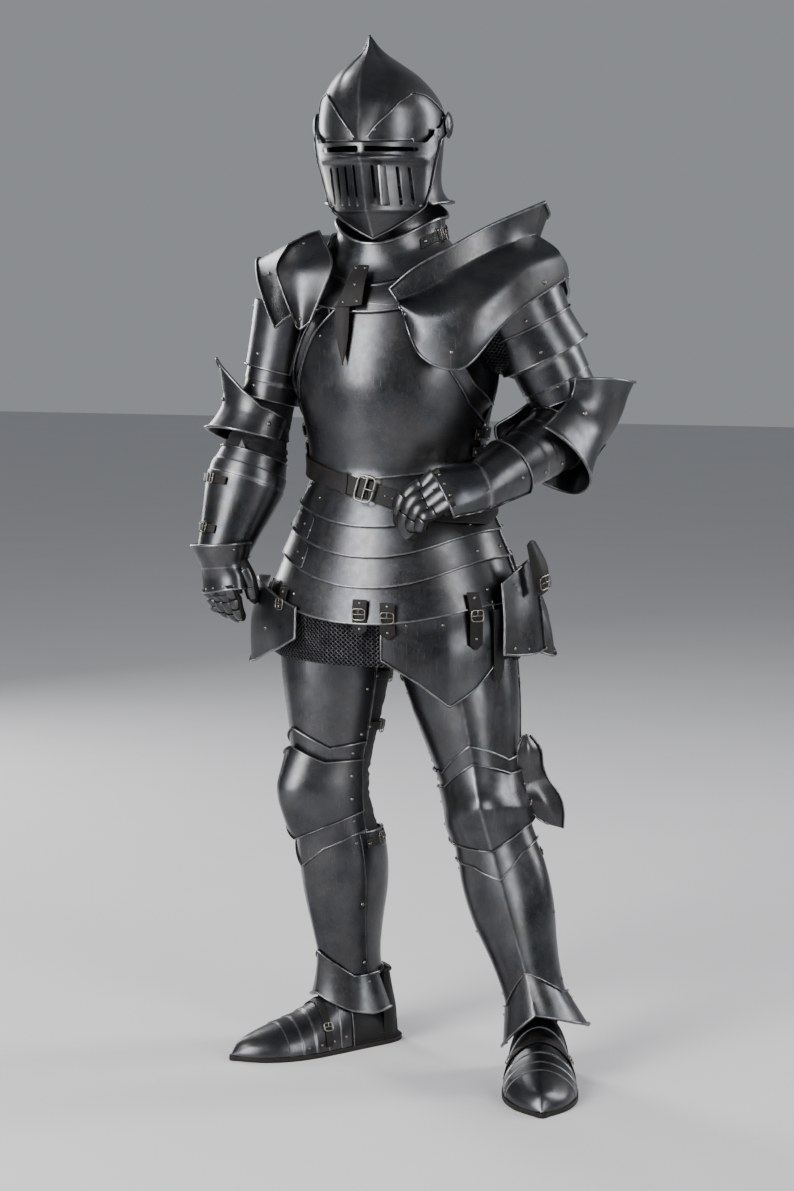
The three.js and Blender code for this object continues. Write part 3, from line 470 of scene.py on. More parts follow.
def make_rivets():
    """One domed rivet is modelled and copied to each place."""
    for body, places in RIVETS.items():
        deselect()
        bpy.ops.mesh.primitive_uv_sphere_add(segments=12, ring_count=8, radius=MM)
        head = bpy.context.object
        in_edit(
            lambda: bpy.ops.mesh.bisect(plane_co=(0, 0, 0), plane_no=(0, 0, 1), clear_inner=True, use_fill=True),
            lambda: bpy.ops.mesh.select_all(action="SELECT"),
            lambda: bpy.ops.transform.resize(value=(1, 1, RIVET_DOME)),
        )
        head.data.attributes.new("rim", "FLOAT", "POINT")
        parts = []
        for at, up, size in places:
            copy = bpy.data.objects.new("rivet", head.data.copy())
            bpy.context.scene.collection.objects.link(copy)
            copy.data.transform(Matrix.Scale(size, 4))
            place(copy, at - up * RIVET_SINK, up, up.orthogonal())
            parts.append(copy)
        bpy.data.objects.remove(head, do_unlink=True)
        piece = join(f"rivets_{body}", parts)
        smooth(piece, 60)
        dress(piece, "polished", body)


BUCKLES = []


def buckle(at, up, along, width, length):
    """A rounded frame with its bar and prong. along is the strap's way."""
    deselect()
    bpy.ops.mesh.primitive_torus_add(major_segments=28, minor_segments=8, major_radius=1, minor_radius=0.2)
    ring = bpy.context.object
    bar = max(1.05, width * 0.048)
    for vertex in ring.data.vertices:
        x, y, z = vertex.co
        angle = math.atan2(y, x)
        reach = math.hypot(x, y) - 1
        c, s = math.cos(angle), math.sin(angle)
        square = (abs(c) ** 5 + abs(s) ** 5) ** (-1 / 5)
        vertex.co = Vector((
            c * (length / 2 * square + reach * 5 * bar),
            s * (width / 2 * square + reach * 5 * bar),
            z * 5 * bar * 0.8,
        )) * MM
    parts = [ring]
    for size, way in ((bar * 0.8, "Y"), (bar * 0.7, "X")):
        span = width if way == "Y" else length * 0.56
        bpy.ops.mesh.primitive_cylinder_add(vertices=10, radius=size * MM, depth=span * MM)
        rod = bpy.context.object
        in_edit(lambda: bpy.ops.mesh.bevel(offset=size * 0.3 * MM, segments=2))
        rod.data.transform(Matrix.Rotation(math.radians(90), 4, "X" if way == "Y" else "Y"))
        if way == "X":
            rod.data.transform(Matrix.Translation((length * 0.25 * MM, 0, bar * 0.9 * MM)))
        parts.append(rod)
    piece = join("buckle", parts)
    piece.data.attributes.new("rim", "FLOAT", "POINT")
    smooth(piece, 50)
    place(piece, at + up * bar, up, along)
    BUCKLES.append(piece)


def buckle_on(surface, u, v, width, length, way="u", turn=1, lift=2.0):
    up, across = normal_on(surface, u, v, turn)
    along = across if way == "u" else up.cross(across)
    buckle(surface(u, v) + up * lift, up, along, width, length)


def make_buckles():
    dress(join("buckles_polished_harness", BUCKLES), "polished")


# Materials
def add(tree, kind, inputs=None, **settings):
    made = tree.nodes.new(kind)
    for key, value in settings.items():
        setattr(made, key, value)
    for key, value in (inputs or {}).items():
        if isinstance(value, bpy.types.NodeSocket):
            tree.links.new(value, made.inputs[key])
        else:
            made.inputs[key].default_value = value
    return made


def calc(tree, operation, a, b=0.0, c=0.0):
    return add(tree, "ShaderNodeMath", {0: a, 1: b, 2: c}, operation=operation).outputs[0]


def blend_colour(tree, share, a, b):
    return add(tree, "ShaderNodeMix", {0: share, 6: a, 7: b}, data_type="RGBA").outputs[2]


def spread(tree, value, low, high, to_low=0.0, to_high=1.0):
    return add(tree, "ShaderNodeMapRange", {0: value, 1: low, 2: high, 3: to_low, 4: to_high}).outputs[0]


def new_group(name, inputs, outputs):
    group = bpy.data.node_groups.new(name, "ShaderNodeTree")
    for label, kind, value in inputs:
        socket = group.interface.new_socket(label, in_out="INPUT", socket_type=kind)
        if value is not None:
            socket.default_value = value
    for label, kind in outputs:
        group.interface.new_socket(label, in_out="OUTPUT", socket_type=kind)
    return group, group.nodes.new("NodeGroupInput").outputs, group.nodes.new("NodeGroupOutput")


FLOAT, VECTOR = "NodeSocketFloat", "NodeSocketVector"


def mottle_group():
    """Soft cloudy variation, from 0 to 1."""
    inputs = [("Place", VECTOR, None), ("Scale", FLOAT, 10.0), ("Contrast", FLOAT, 1.0)]
    tree, given, out = new_group("mottle", inputs, [("Mask", FLOAT)])
    cloud = add(tree, "ShaderNodeTexNoise", {"Vector": given[0], "Scale": given[1], "Detail": 5.0, "Roughness": 0.6})
    centred = calc(tree, "SUBTRACT", cloud.outputs["Fac"], 0.5)
    lifted = calc(tree, "MULTIPLY_ADD", centred, calc(tree, "MULTIPLY", given[2], 2.2), 0.5)
    tree.links.new(add(tree, "ShaderNodeClamp", {0: lifted}).outputs[0], out.inputs[0])
    return tree


def scratch_group():
    """Fine polishing lines and a few deeper scratches."""
    tree, given, out = new_group("scratches", [("Place", VECTOR, None), ("Amount", FLOAT, 1.0)], [("Mask", FLOAT)])
    masks = []
    for turn, scale, sharp in (((0.3, 0.2, 0.5), (900, 900, 26), 0.62), ((0.1, 0.9, 0.4), (700, 30, 700), 0.66),
                               ((1.1, 0.3, 1.9), (26, 800, 800), 0.66)):
        laid = add(tree, "ShaderNodeMapping", {"Vector": given[0], "Rotation": turn, "Scale": scale})
        line = add(tree, "ShaderNodeTexNoise", {"Vector": laid.outputs[0], "Scale": 1.0, "Detail": 2.0})
        masks.append(spread(tree, line.outputs["Fac"], sharp, sharp + 0.09))
    both = calc(tree, "MAXIMUM", calc(tree, "MAXIMUM", masks[0], masks[1]), masks[2])
    tree.links.new(calc(tree, "MULTIPLY", both, given[1]), out.inputs[0])
    return tree


def wear_and_highlight_group():
    """Bare bright metal, or rubbed leather, along an edge, broken up where it was handled less. Along a steel ridge
    the same mask paints a highlight.
    """
    inputs = [("Rim", FLOAT, 0.0), ("Place", VECTOR, None), ("Scale", FLOAT, 60.0)]
    tree, given, out = new_group("edge_wear_and_ridge_highlight", inputs, [("Mask", FLOAT)])
    broken = add(tree, "ShaderNodeTexNoise", {"Vector": given[1], "Scale": given[2], "Detail": 4.0})
    rubbed = spread(tree, broken.outputs["Fac"], 0.3, 0.62, 0.25, 1.0)
    reach = calc(tree, "POWER", given[0], 1.6)
    tree.links.new(calc(tree, "MULTIPLY", reach, rubbed), out.inputs[0])
    return tree


def ring_group():
    """Rows of linked rings, as a height and a mask."""
    tree, given, out = new_group("rings", [("Place", VECTOR, None), ("Pitch", FLOAT, 0.009)],
                                 [("Height", FLOAT), ("Mask", FLOAT)])
    parts = add(tree, "ShaderNodeSeparateXYZ", {0: given[0]})
    across = calc(tree, "DIVIDE", parts.outputs[0], given[1])
    along = calc(tree, "DIVIDE", parts.outputs[1], given[1])
    heights = []
    for shift in (0.0, 0.5):
        sides = []
        for value in (across, along):
            cell = calc(tree, "FRACT", calc(tree, "ADD", value, shift + 100.0))
            sides.append(calc(tree, "SUBTRACT", cell, 0.5))
        first, second = (calc(tree, "MULTIPLY", side, side) for side in sides)
        square = calc(tree, "ADD", first, second)
        away = calc(tree, "ABSOLUTE", calc(tree, "SUBTRACT", calc(tree, "SQRT", square), 0.4))
        bump = calc(tree, "SUBTRACT", 1.0, calc(tree, "DIVIDE", away, 0.13))
        tilt = calc(tree, "MULTIPLY_ADD", sides[0], 0.8 if shift else -0.8, 0.55)
        heights.append(calc(tree, "MULTIPLY", calc(tree, "MAXIMUM", bump, 0.0), tilt))
    height = calc(tree, "MAXIMUM", heights[0], heights[1])
    tree.links.new(height, out.inputs[0])
    tree.links.new(spread(tree, height, 0.03, 0.3), out.inputs[1])
    return tree


def weave_group():
    """A plain weave, as a height."""
    tree, given, out = new_group("weave", [("Place", VECTOR, None), ("Pitch", FLOAT, 0.0012)], [("Height", FLOAT)])
    parts = add(tree, "ShaderNodeSeparateXYZ", {0: given[0]})
    waves = []
    for k in (0, 1):
        turns = calc(tree, "MULTIPLY", calc(tree, "DIVIDE", parts.outputs[k], given[1]), math.pi)
        waves.append(calc(tree, "ABSOLUTE", calc(tree, "SINE", turns)))
    checks = add(tree, "ShaderNodeTexChecker",
                 {"Vector": given[0], "Scale": calc(tree, "DIVIDE", 1.0, given[1])})
    mixed = add(tree, "ShaderNodeMix", {0: checks.outputs["Fac"], 2: waves[0], 3: waves[1]}).outputs[0]
    tree.links.new(mixed, out.inputs[0])
    return tree


def grain_group():
    """Leather grain with fine pores, as a height."""
    tree, given, out = new_group("leather_grain", [("Place", VECTOR, None), ("Scale", FLOAT, 420.0)],
                                 [("Height", FLOAT), ("Crease", FLOAT)])
    cells = add(tree, "ShaderNodeTexVoronoi", {"Vector": given[0], "Scale": given[1]}, feature="DISTANCE_TO_EDGE")
    pores = add(tree, "ShaderNodeTexNoise", {"Vector": given[0], "Scale": calc(tree, "MULTIPLY", given[1], 2.0)})
    crease = spread(tree, cells.outputs["Distance"], 0.0, 0.22)
    tree.links.new(calc(tree, "MULTIPLY_ADD", pores.outputs["Fac"], 0.4, crease), out.inputs[0])
    tree.links.new(crease, out.inputs[1])
    return tree


def start_material(name):
    material = bpy.data.materials.new(name)
    material.use_nodes = True
    tree = material.node_tree
    tree.nodes.clear()
    shader = tree.nodes.new("ShaderNodeBsdfPrincipled")
    output = tree.nodes.new("ShaderNodeOutputMaterial")
    tree.links.new(shader.outputs[0], output.inputs[0])
    return material, tree, shader


def use(tree, group, inputs):
    return add(tree, "ShaderNodeGroup", inputs, node_tree=group).outputs


def finish_with(tree, shader, colour, roughness, height, strength, distance):
    tree.links.new(colour, shader.inputs["Base Color"])
    tree.links.new(roughness, shader.inputs["Roughness"])
    bump = add(tree, "ShaderNodeBump", {"Strength": strength, "Distance": distance, "Height": height})
    tree.links.new(bump.outputs[0], shader.inputs["Normal"])


def steel_material(name, dark, light, warm, rough_low, rough_high, wear_and_ridge_highlight):
    """Blackened, polished steel: cloudy patina, warm stains, scratches, bare metal on the edges and a painted
    highlight along ridges.
    """
    material, tree, shader = start_material(name)
    shader.inputs["Metallic"].default_value = 1.0
    place_at = tree.nodes.new("ShaderNodeTexCoord").outputs["Object"]
    rim = add(tree, "ShaderNodeAttribute", attribute_name="rim").outputs["Fac"]
    cloud = use(tree, GROUPS["mottle"], {"Place": place_at, "Scale": 9.0, "Contrast": 1.2})[0]
    spots = use(tree, GROUPS["mottle"], {"Place": place_at, "Scale": 70.0, "Contrast": 1.5})[0]
    stains = use(tree, GROUPS["mottle"], {"Place": place_at, "Scale": 17.0, "Contrast": 2.4})[0]
    lines = use(tree, GROUPS["scratches"], {"Place": place_at, "Amount": 1.0})[0]
    edge = use(tree, GROUPS["edge_wear_and_ridge_highlight"], {"Rim": rim, "Place": place_at, "Scale": 75.0})[0]
    colour = blend_colour(tree, cloud, dark, light)
    colour = blend_colour(tree, calc(tree, "MULTIPLY", stains, 0.25), colour, warm)
    colour = blend_colour(tree, calc(tree, "MULTIPLY", spots, 0.15), colour, (0.02, 0.02, 0.023, 1))
    colour = blend_colour(tree, calc(tree, "MULTIPLY", lines, 0.16), colour, (0.32, 0.32, 0.33, 1))
    # Bare metal on worn edges, and a painted highlight along ridges, in one bright colour
    colour = blend_colour(tree, calc(tree, "MULTIPLY", edge, 0.42), colour, wear_and_ridge_highlight)
    both = calc(tree, "MULTIPLY_ADD", spots, 0.5, calc(tree, "MULTIPLY", cloud, 0.5))
    rough = spread(tree, both, 0.1, 0.9, rough_low, rough_high)
    rough = calc(tree, "MULTIPLY_ADD", lines, 0.08, rough)
    dents = add(tree, "ShaderNodeTexNoise", {"Vector": place_at, "Scale": 22.0, "Detail": 1.0}).outputs["Fac"]
    fine = calc(tree, "MULTIPLY_ADD", lines, -0.03, calc(tree, "MULTIPLY", spots, 0.03))
    height = calc(tree, "MULTIPLY_ADD", dents, 1.0, fine)
    finish_with(tree, shader, colour, rough, height, 0.2, 0.0014)
    return material


def leather_material(name, deep, lit, grain, rough):
    """Grained leather, rubbed lighter on its edges."""
    material, tree, shader = start_material(name)
    shader.inputs["Specular IOR Level"].default_value = 0.22
    place_at = tree.nodes.new("ShaderNodeTexCoord").outputs["Object"]
    rim = add(tree, "ShaderNodeAttribute", attribute_name="rim").outputs["Fac"]
    height, crease = use(tree, GROUPS["leather_grain"], {"Place": place_at, "Scale": grain})
    cloud = use(tree, GROUPS["mottle"], {"Place": place_at, "Scale": 28.0, "Contrast": 1.3})[0]
    edge = use(tree, GROUPS["edge_wear_and_ridge_highlight"], {"Rim": rim, "Place": place_at, "Scale": 120.0})[0]
    colour = blend_colour(tree, cloud, deep, lit)
    rubbed = (lit[0] * 2.4, lit[1] * 2.1, lit[2] * 1.8, 1)
    colour = blend_colour(tree, calc(tree, "MULTIPLY", edge, 0.6), colour, rubbed)
    colour = blend_colour(tree, crease, (deep[0] * 0.5, deep[1] * 0.5, deep[2] * 0.5, 1), colour)
    finish_with(tree, shader, colour, spread(tree, cloud, 0, 1, rough, rough + 0.16), height, 0.35, 0.0005)
    return material


def mail_material():
    """Dark rings on the piece's own UV map."""
    material, tree, shader = start_material("riveted_mail")
    shader.inputs["Metallic"].default_value = 1.0
    uv = tree.nodes.new("ShaderNodeUVMap").outputs[0]
    place_at = tree.nodes.new("ShaderNodeTexCoord").outputs["Object"]
    height, mask = use(tree, GROUPS["rings"], {"Place": uv, "Pitch": 0.0085})
    cloud = use(tree, GROUPS["mottle"], {"Place": place_at, "Scale": 30.0, "Contrast": 1.4})[0]
    metal = blend_colour(tree, cloud, (0.018, 0.018, 0.02, 1), (0.07, 0.07, 0.075, 1))
    colour = blend_colour(tree, mask, (0.004, 0.004, 0.005, 1), metal)
    finish_with(tree, shader, colour, spread(tree, mask, 0, 1, 0.8, 0.38), height, 0.9, 0.0016)
    return material


def cloth_material():
    """Black woven cloth."""
    material, tree, shader = start_material("arming_cloth")
    shader.inputs["Specular IOR Level"].default_value = 0.2
    shader.inputs["Sheen Weight"].default_value = 0.06
    shader.inputs["Sheen Roughness"].default_value = 0.5
    uv = tree.nodes.new("ShaderNodeUVMap").outputs[0]
    place_at = tree.nodes.new("ShaderNodeTexCoord").outputs["Object"]
    height = use(tree, GROUPS["weave"], {"Place": uv, "Pitch": 0.0016})[0]
    cloud = use(tree, GROUPS["mottle"], {"Place": place_at, "Scale": 24.0, "Contrast": 1.6})[0]
    colour = blend_colour(tree, cloud, (0.005, 0.005, 0.006, 1), (0.015, 0.0145, 0.016, 1))
    colour = blend_colour(tree, calc(tree, "MULTIPLY", height, 0.35), colour, (0.028, 0.028, 0.03, 1))
    finish_with(tree, shader, colour, spread(tree, height, 0, 1, 0.95, 0.8), height, 0.4, 0.0005)
    return material


def floor_material():
    material, tree, shader = start_material("studio_floor")
    place_at = tree.nodes.new("ShaderNodeTexCoord").outputs["Object"]
    cloud = use(tree, GROUPS["mottle"], {"Place": place_at, "Scale": 2.0, "Contrast": 0.6})[0]
    colour = blend_colour(tree, cloud, (0.56, 0.56, 0.57, 1), (0.6, 0.6, 0.61, 1))
    finish_with(tree, shader, colour, spread(tree, cloud, 0, 1, 0.75, 0.85), cloud, 0.05, 0.001)
    return material


GROUPS = {
    "mottle": mottle_group(),
    "scratches": scratch_group(),
    "edge_wear_and_ridge_highlight": wear_and_highlight_group(),
    "rings": ring_group(),
    "weave": weave_group(),
    "leather_grain": grain_group(),
}
# Finish, its material and a slot name
FINISHES = {
    "steel": (steel_material("blackened_steel", (0.04, 0.0425, 0.048, 1), (0.092, 0.095, 0.102, 1),
                             (0.1, 0.088, 0.076, 1), 0.26, 0.38, (0.34, 0.34, 0.35, 1)), "steel"),
    "polished": (steel_material("fitting_steel", (0.1, 0.095, 0.09, 1), (0.26, 0.245, 0.22, 1),
                                (0.25, 0.2, 0.13, 1), 0.22, 0.38, (0.42, 0.4, 0.36, 1)), "steel"),
    "leather": (leather_material("strap_leather", (0.004, 0.0033, 0.003, 1), (0.012, 0.0095, 0.008, 1), 520.0, 0.4),
                "leather"),
    "glove": (leather_material("glove_leather", (0.005, 0.0045, 0.004, 1), (0.014, 0.012, 0.011, 1), 420.0, 0.45),
              "leather"),
    "mail": (mail_material(), "mail"),
    "cloth": (cloth_material(), "cloth"),
}


# Studio
def lamp(name, at, target, size, power):
    data = bpy.data.lights.new(name, "AREA")
    data.shape = "RECTANGLE"
    data.size, data.size_y = size
    data.energy = power
    light = bpy.data.objects.new(name, data)
    bpy.context.scene.collection.objects.link(light)
    light.location = at
    light.rotation_euler = (Vector(target) - Vector(at)).to_track_quat("-Z", "Y").to_euler()


FLOOR_SIZE = 40
WORLD_STRENGTH = 0.36


def make_studio():
    deselect()
    bpy.ops.mesh.primitive_plane_add(size=FLOOR_SIZE, location=(0, 0, -NECK_HEIGHT * MM))
    floor = bpy.context.object
    floor.name = "studio_floor"
    in_edit(lambda: bpy.ops.mesh.subdivide(number_cuts=3))
    floor.data.materials.append(floor_material())
    world = bpy.data.worlds.new("studio")
    world.use_nodes = True
    background = world.node_tree.nodes["Background"].inputs
    background["Color"].default_value = (0.74, 0.77, 0.82, 1)
    background["Strength"].default_value = WORLD_STRENGTH
    bpy.context.scene.world = world
    lamp("key_light", (-1.7, -3.6, 1.0), (0, 0, -0.4), (1.7, 3.8), 330)
    lamp("fill_light", (3.9, -2.2, 0.7), (0, 0, -0.4), (1.2, 3.0), 120)
    lamp("back_left", (-3.0, 2.0, 0.9), (0, 0, -0.4), (0.9, 3.0), 130)
    lamp("back_right", (3.1, 2.0, 1.1), (0, 0, -0.3), (0.9, 3.0), 130)


def facing(surface):
    """1 where the grid's own normal points away from the piece's middle, -1 where it points in."""
    spots = [(i / 6, j / 6) for i in range(1, 6) for j in range(1, 6)]
    points = [surface(u, v) for u, v in spots]
    middle = sum(points, Vector()) / len(points)
    total = sum(normal_on(surface, u, v)[0].dot(p - middle) for (u, v), p in zip(spots, points))
    return 1 if total > 0 else -1


def folds(seed, depth, pitch, across, where):
    """Creases of gathered cloth, as an offset over a limb."""

    def shape(angle, height, v):
        turn = math.radians(angle)
        ring = Vector((math.cos(turn) * 60 / across, math.sin(turn) * 60 / across, seed * 7.3))
        n = noise.noise(ring + Vector((0, 0, height / pitch)))
        m = noise.noise(ring * 2.3 + Vector((5, 3, height / pitch * 1.9)))
        return depth * where(angle, height) * ((1 - 2.6 * abs(n)) * 0.75 + (1 - 2.6 * abs(m)) * 0.35 - 0.5)

    return shape


def declare_cloth(surface):
    """Samples the surface that the cloth lies on, on a grid; nothing uses the points."""
    n, m = 40, 24
    grid = [[surface(i / n, j / m) * MM for i in range(n + 1)] for j in range(m + 1)]


# Torso: height, left, right, front, back, ridge
TORSO_SECTIONS = [
    [800, 252, 252, 198, 188], [850, 242, 242, 190, 180], [900, 226, 226, 182, 170], [950, 208, 208, 172, 158],
    [1000, 190, 190, 160, 145], [1050, 170, 170, 147, 130], [1085, 160, 160, 141, 122], [1120, 160, 160, 147, 120],
    [1180, 170, 170, 162, 124], [1250, 182, 182, 174, 130], [1320, 186, 186, 170, 134], [1380, 180, 180, 154, 134],
    [1430, 160, 160, 130, 126], [1470, 130, 130, 112, 110],
]
torso = Limb([v3(0, 0, 0), v3(0, 0, 1500)], v3(0, -1, 0), TORSO_SECTIONS)
ARMHOLE = [[0, 1396], [18, 1392], [34, 1345], [50, 1275], [66, 1215], [88, 1176]]


def back_furrow(a, h, v):
    """The furrow down the spine and the swell of each shoulder blade."""
    return -3.5 * math.exp(-(((abs(a) - 180) / 7) ** 2)) + 2 * math.exp(-(((abs(a) - 150) / 12) ** 2))


def make_torso():
    breast = on(torso, -88, 88, [[0, WAIST - 8], [88, WAIST + 22]], ARMHOLE, [[0, 6.5], [0.06, 3.4], [0.3, 2], [1, 2]])
    plate("breastplate_steel", breast, 56, 36, ["breastplate"], roll={"high": 1.7, "low": 1.1})
    for side, start, end in (("left", 26, 92), ("right", -92, -26)):
        gusset = on(torso, start, end, [[a, h - 14] for a, h in ARMHOLE],
                    [[a, min(h + 38, 1405)] for a, h in ARMHOLE], [[0, 2 - STEP], [0.6, 2 - STEP], [1, 6.4]])
        plate(f"gusset_{side}_steel", gusset, 24, 10, [f"gusset_{side}"], roll={"high": 1.7})
    back = on(torso, 84, 276, WAIST + 18, [[84, 1176], [110, 1300], [130, 1400], [150, 1440], [180, 1440]],
              [[0, 7.5], [0.1, 5.2], [1, 4.5]], shape=back_furrow)
    plate("backplate_steel", back, 60, 24, ["backplate"], roll={"high": 1.6, "low": 1.1})
    rivets(back, [(0.06 + 0.02 * k, 0.08) for k in range(2)] + [(0.92 + 0.02 * k, 0.08) for k in range(2)])
    rivets(breast, [(0.03, 0.1), (0.97, 0.1), (0.03, 0.55), (0.97, 0.55), (0.33, 0.93), (0.67, 0.93)])


# Hoops of the skirt: height of the top and of the low edge in front, then at the side
HOOPS = [
    ["fauld_1", 1096, 1000, 1124, 1032], ["fauld_2", 1010, 946, 1042, 988],
    ["fauld_3", 956, 892, 998, 940], ["fauld_4", 902, 828, 950, 862],
]
# Where each hoop starts and ends, round the trunk from its front
HOOP_START, HOOP_END = -265, 93
LAP_START = -150


def hoop_surface(front_top, front_low, side_top, side_low):
    swoop = ((0, 0), (10, 0.03), (22, 0.2), (35, 0.46), (48, 0.74), (60, 0.92), (72, 1), (180, 1))
    low, high = ([[a, front + (side - front) * share] for a, share in swoop]
                 for front, side in ((front_low, side_low), (front_top, side_top)))
    return on(torso, HOOP_START, HOOP_END, low, high, [[0, 3.0], [0.12, 2.0], [0.6, -1.0], [1, -1.8]])


def along_hoop(angle):
    return (angle - HOOP_START) / (HOOP_END - HOOP_START)


def make_fauld():
    for name, *edges in HOOPS:
        hoop = hoop_surface(*edges)
        plate(f"{name}_steel", hoop, 96, 8, [name], roll={"low": 1.2, "start": 1.0, "end": 1.0})
        for angle in (-38, -70, 62, 84, -120, -178, -236):
            rivet(hoop, along_hoop(angle), 0.3, 3.0)
    # The side lap of each hoop on the wearer's right, over the seam
    for name, last, *edges in (("fauld_2", -37.5, *HOOPS[1][1:]), ("fauld_3", -36, *HOOPS[2][1:])):
        hoop = hoop_surface(*edges)

        def lap(u, v, hoop=hoop, last=last):
            spot = along_hoop(LAP_START + (last - LAP_START) * u)
            round_off = 0.06 * max(0.0, (u - 0.93) / 0.07) ** 2
            return hoop(spot, round_off + (0.72 - 2 * round_off) * v) + normal_on(hoop, spot, 0.4)[0] * 1.4

        plate(f"lap_{name}", lap, 44, 8, wall=1.0, roll={"low": 0.8})
        rivets(lap, [(0.93, 0.5)], 2.2)


BELT_LOW = [[-180, 1092], [-90, 1090], [-40, 1072], [0, 1048], [40, 1010], [75, 1000], [110, 1030], [150, 1080],
            [180, 1092]]


def make_belt():
    rise = lambda h: [[a, low + h] for a, low in BELT_LOW]
    belt = on(torso, -180, 180, rise(0), rise(34), 10.6)
    plate("waist_belt_leather", belt, 110, 5, ["waist_belt"], wall=3, finish="leather", closed=True, edge=0.7)
    # The loose end passes through the buckle and lies on the belt
    tail = on(torso, -42, 0, [[-42, 1089], [-38, 1073], [0, 1050]], [[-42, 1091], [-38, 1104], [0, 1081]], 13.6)
    plate("belt_end", tail, 30, 4, wall=2.8, finish="leather", edge=0.7)
    keeper = on(torso, -17, -13, [[-17, 1058], [-13, 1056]], [[-17, 1096], [-13, 1094]], 16.4)
    plate("belt_keeper", keeper, 4, 8, wall=2, finish="leather", edge=0.5)
    buckle_on(belt, 0.497, 0.5, 46, 34, lift=4.2)
    rivets(belt, [(0.53 + 0.012 * k, 0.5) for k in range(5)], 2.0)


# Gorget: left and right reach, front reach, back reach, side height, front height, back height
GORGET_RINGS = [
    [0, 188, 151, 139, 1436, 1382, 1432], [1, 168, 142, 136, 1458, 1404, 1458], [2, 132, 124, 124, 1484, 1432, 1490],
    [3, 104, 108, 112, 1508, 1460, 1530], [4, 97, 101, 116, 1528, 1482, 1560], [5, 96, 100, 122, 1548, 1502, 1584],
]


def collar(start, end, out=0.0):
    def surface(u, v):
        side, front, back, side_height, front_height, back_height = read(GORGET_RINGS, 5 * v)
        angle = math.radians(start + (end - start) * u)
        s, c = math.sin(angle), math.cos(angle)
        rise = (front_height if c > 0 else back_height) - side_height
        return v3(-8 + (side + out) * s, -8 - ((front if c > 0 else back) + out) * c, side_height + rise * c * c)

    return surface


BILLET_NET = [
    [v3(-32, -134, 1464), v3(-42, -157, 1429), v3(-53, -172, 1391)],
    [v3(-17, -136, 1465), v3(-22, -159, 1430), v3(-28, -174, 1392)],
    [v3(-4, -134, 1464), v3(-4, -157, 1431), v3(-4, -172, 1395)],
]
TONGUE_NET = [
    [v3(-56, -168, 1394), v3(-51, -177, 1341), v3(-40, -182, 1300), v3(-37, -183, 1289)],
    [v3(-43, -170, 1394), v3(-39, -179, 1341), v3(-36.5, -183, 1298), v3(-36.5, -184, 1288)],
    [v3(-29, -168, 1394), v3(-28, -177, 1341), v3(-33, -182, 1300), v3(-36, -183, 1289)],
]


def facing_front(surface):
    return 1 if normal_on(surface, 0.5, 0.5)[0].y < 0 else -1


def make_gorget():
    front, back = collar(-89.6, 89.6), collar(90, 270)
    plate("gorget_front_steel", front, 56, 24, ["gorget_front"], roll={"high": 3.6, "low": 1.3})
    plate("gorget_back_steel", back, 56, 24, ["gorget_back"], roll={"high": 3.6, "low": 1.3})
    # Raised line round the foot of the neck
    ridge = lambda u, v: collar(-88, 88, 1.2 + 1.6 * math.sin(math.pi * v))(u, 0.36 + 0.05 * v)
    plate("gorget_ridge", ridge, 56, 5, wall=1.4)
    rivets(front, [(0.06, 0.2), (0.94, 0.2), (0.06, 0.8), (0.94, 0.8), (0.3, 0.06), (0.7, 0.06)])
    # Neck strap with its buckle on the wearer's left
    strap = lambda u, v: collar(52, 128, 3.4)(u, 0.63 + 0.17 * v)
    plate("gorget_strap", strap, 30, 4, wall=2.2, finish="leather", edge=0.6)
    buckle_on(strap, 0.42, 0.5, 24, 20, lift=2.6)
    rivets(strap, [(0.08, 0.5), (0.92, 0.5)], 3)
    # Leather billet on the chest with its pointed tongue
    billet = net(BILLET_NET)
    turn = facing_front(billet)
    plate("chest_billet", billet, 8, 14, wall=2.4, finish="leather", edge=0.6, turn=turn)
    rivets(billet, [(0.22, 0.08), (0.78, 0.08), (0.22, 0.9), (0.78, 0.9), (0.5, 0.5)], 2.6, turn)
    tongue = net(TONGUE_NET)
    plate("chest_tongue", tongue, 8, 16, wall=2.2, finish="leather", edge=0.5, turn=facing_front(tongue))


# Shoulders: each line runs from the turned-up guard over its crease to the lower edge
LEFT_SHOULDER_NET = [
    [v3(44, -158, 1422), v3(59, -160, 1402), v3(66, -172, 1396), v3(72, -174, 1386)],
    [v3(83, -144, 1457), v3(103, -142, 1421), v3(120, -183, 1370), v3(115, -184, 1304)],
    [v3(142, -118, 1494), v3(162, -108, 1460), v3(192, -165, 1388), v3(182, -176, 1284)],
    [v3(198, -76, 1531), v3(220, -52, 1499), v3(254, -98, 1446), v3(253, -124, 1371)],
    [v3(273, 22, 1577), v3(254, 38, 1520), v3(306, 14, 1486), v3(319, 0, 1440)],
    [v3(256, 92, 1550), v3(244, 88, 1512), v3(292, 98, 1458), v3(290, 104, 1404)],
    [v3(176, 122, 1536), v3(176, 126, 1498), v3(196, 156, 1430), v3(200, 160, 1346)],
    [v3(90, 130, 1502), v3(92, 134, 1478), v3(96, 158, 1414), v3(100, 162, 1350)],
]
RIGHT_SHOULDER_NET = [
    [v3(-112, -156, 1394), v3(-146, -160, 1374), v3(-184, -134, 1352)],
    [v3(-98, -142, 1442), v3(-154, -144, 1432), v3(-214, -104, 1392)],
    [v3(-106, -72, 1500), v3(-168, -82, 1494), v3(-246, -68, 1444)],
    [v3(-118, -10, 1520), v3(-182, -12, 1516), v3(-268, -10, 1476)],
    [v3(-114, 52, 1506), v3(-172, 62, 1500), v3(-250, 58, 1444)],
    [v3(-104, 112, 1466), v3(-152, 132, 1446), v3(-212, 116, 1388)],
    [v3(-108, 144, 1414), v3(-142, 152, 1392), v3(-180, 138, 1350)],
]
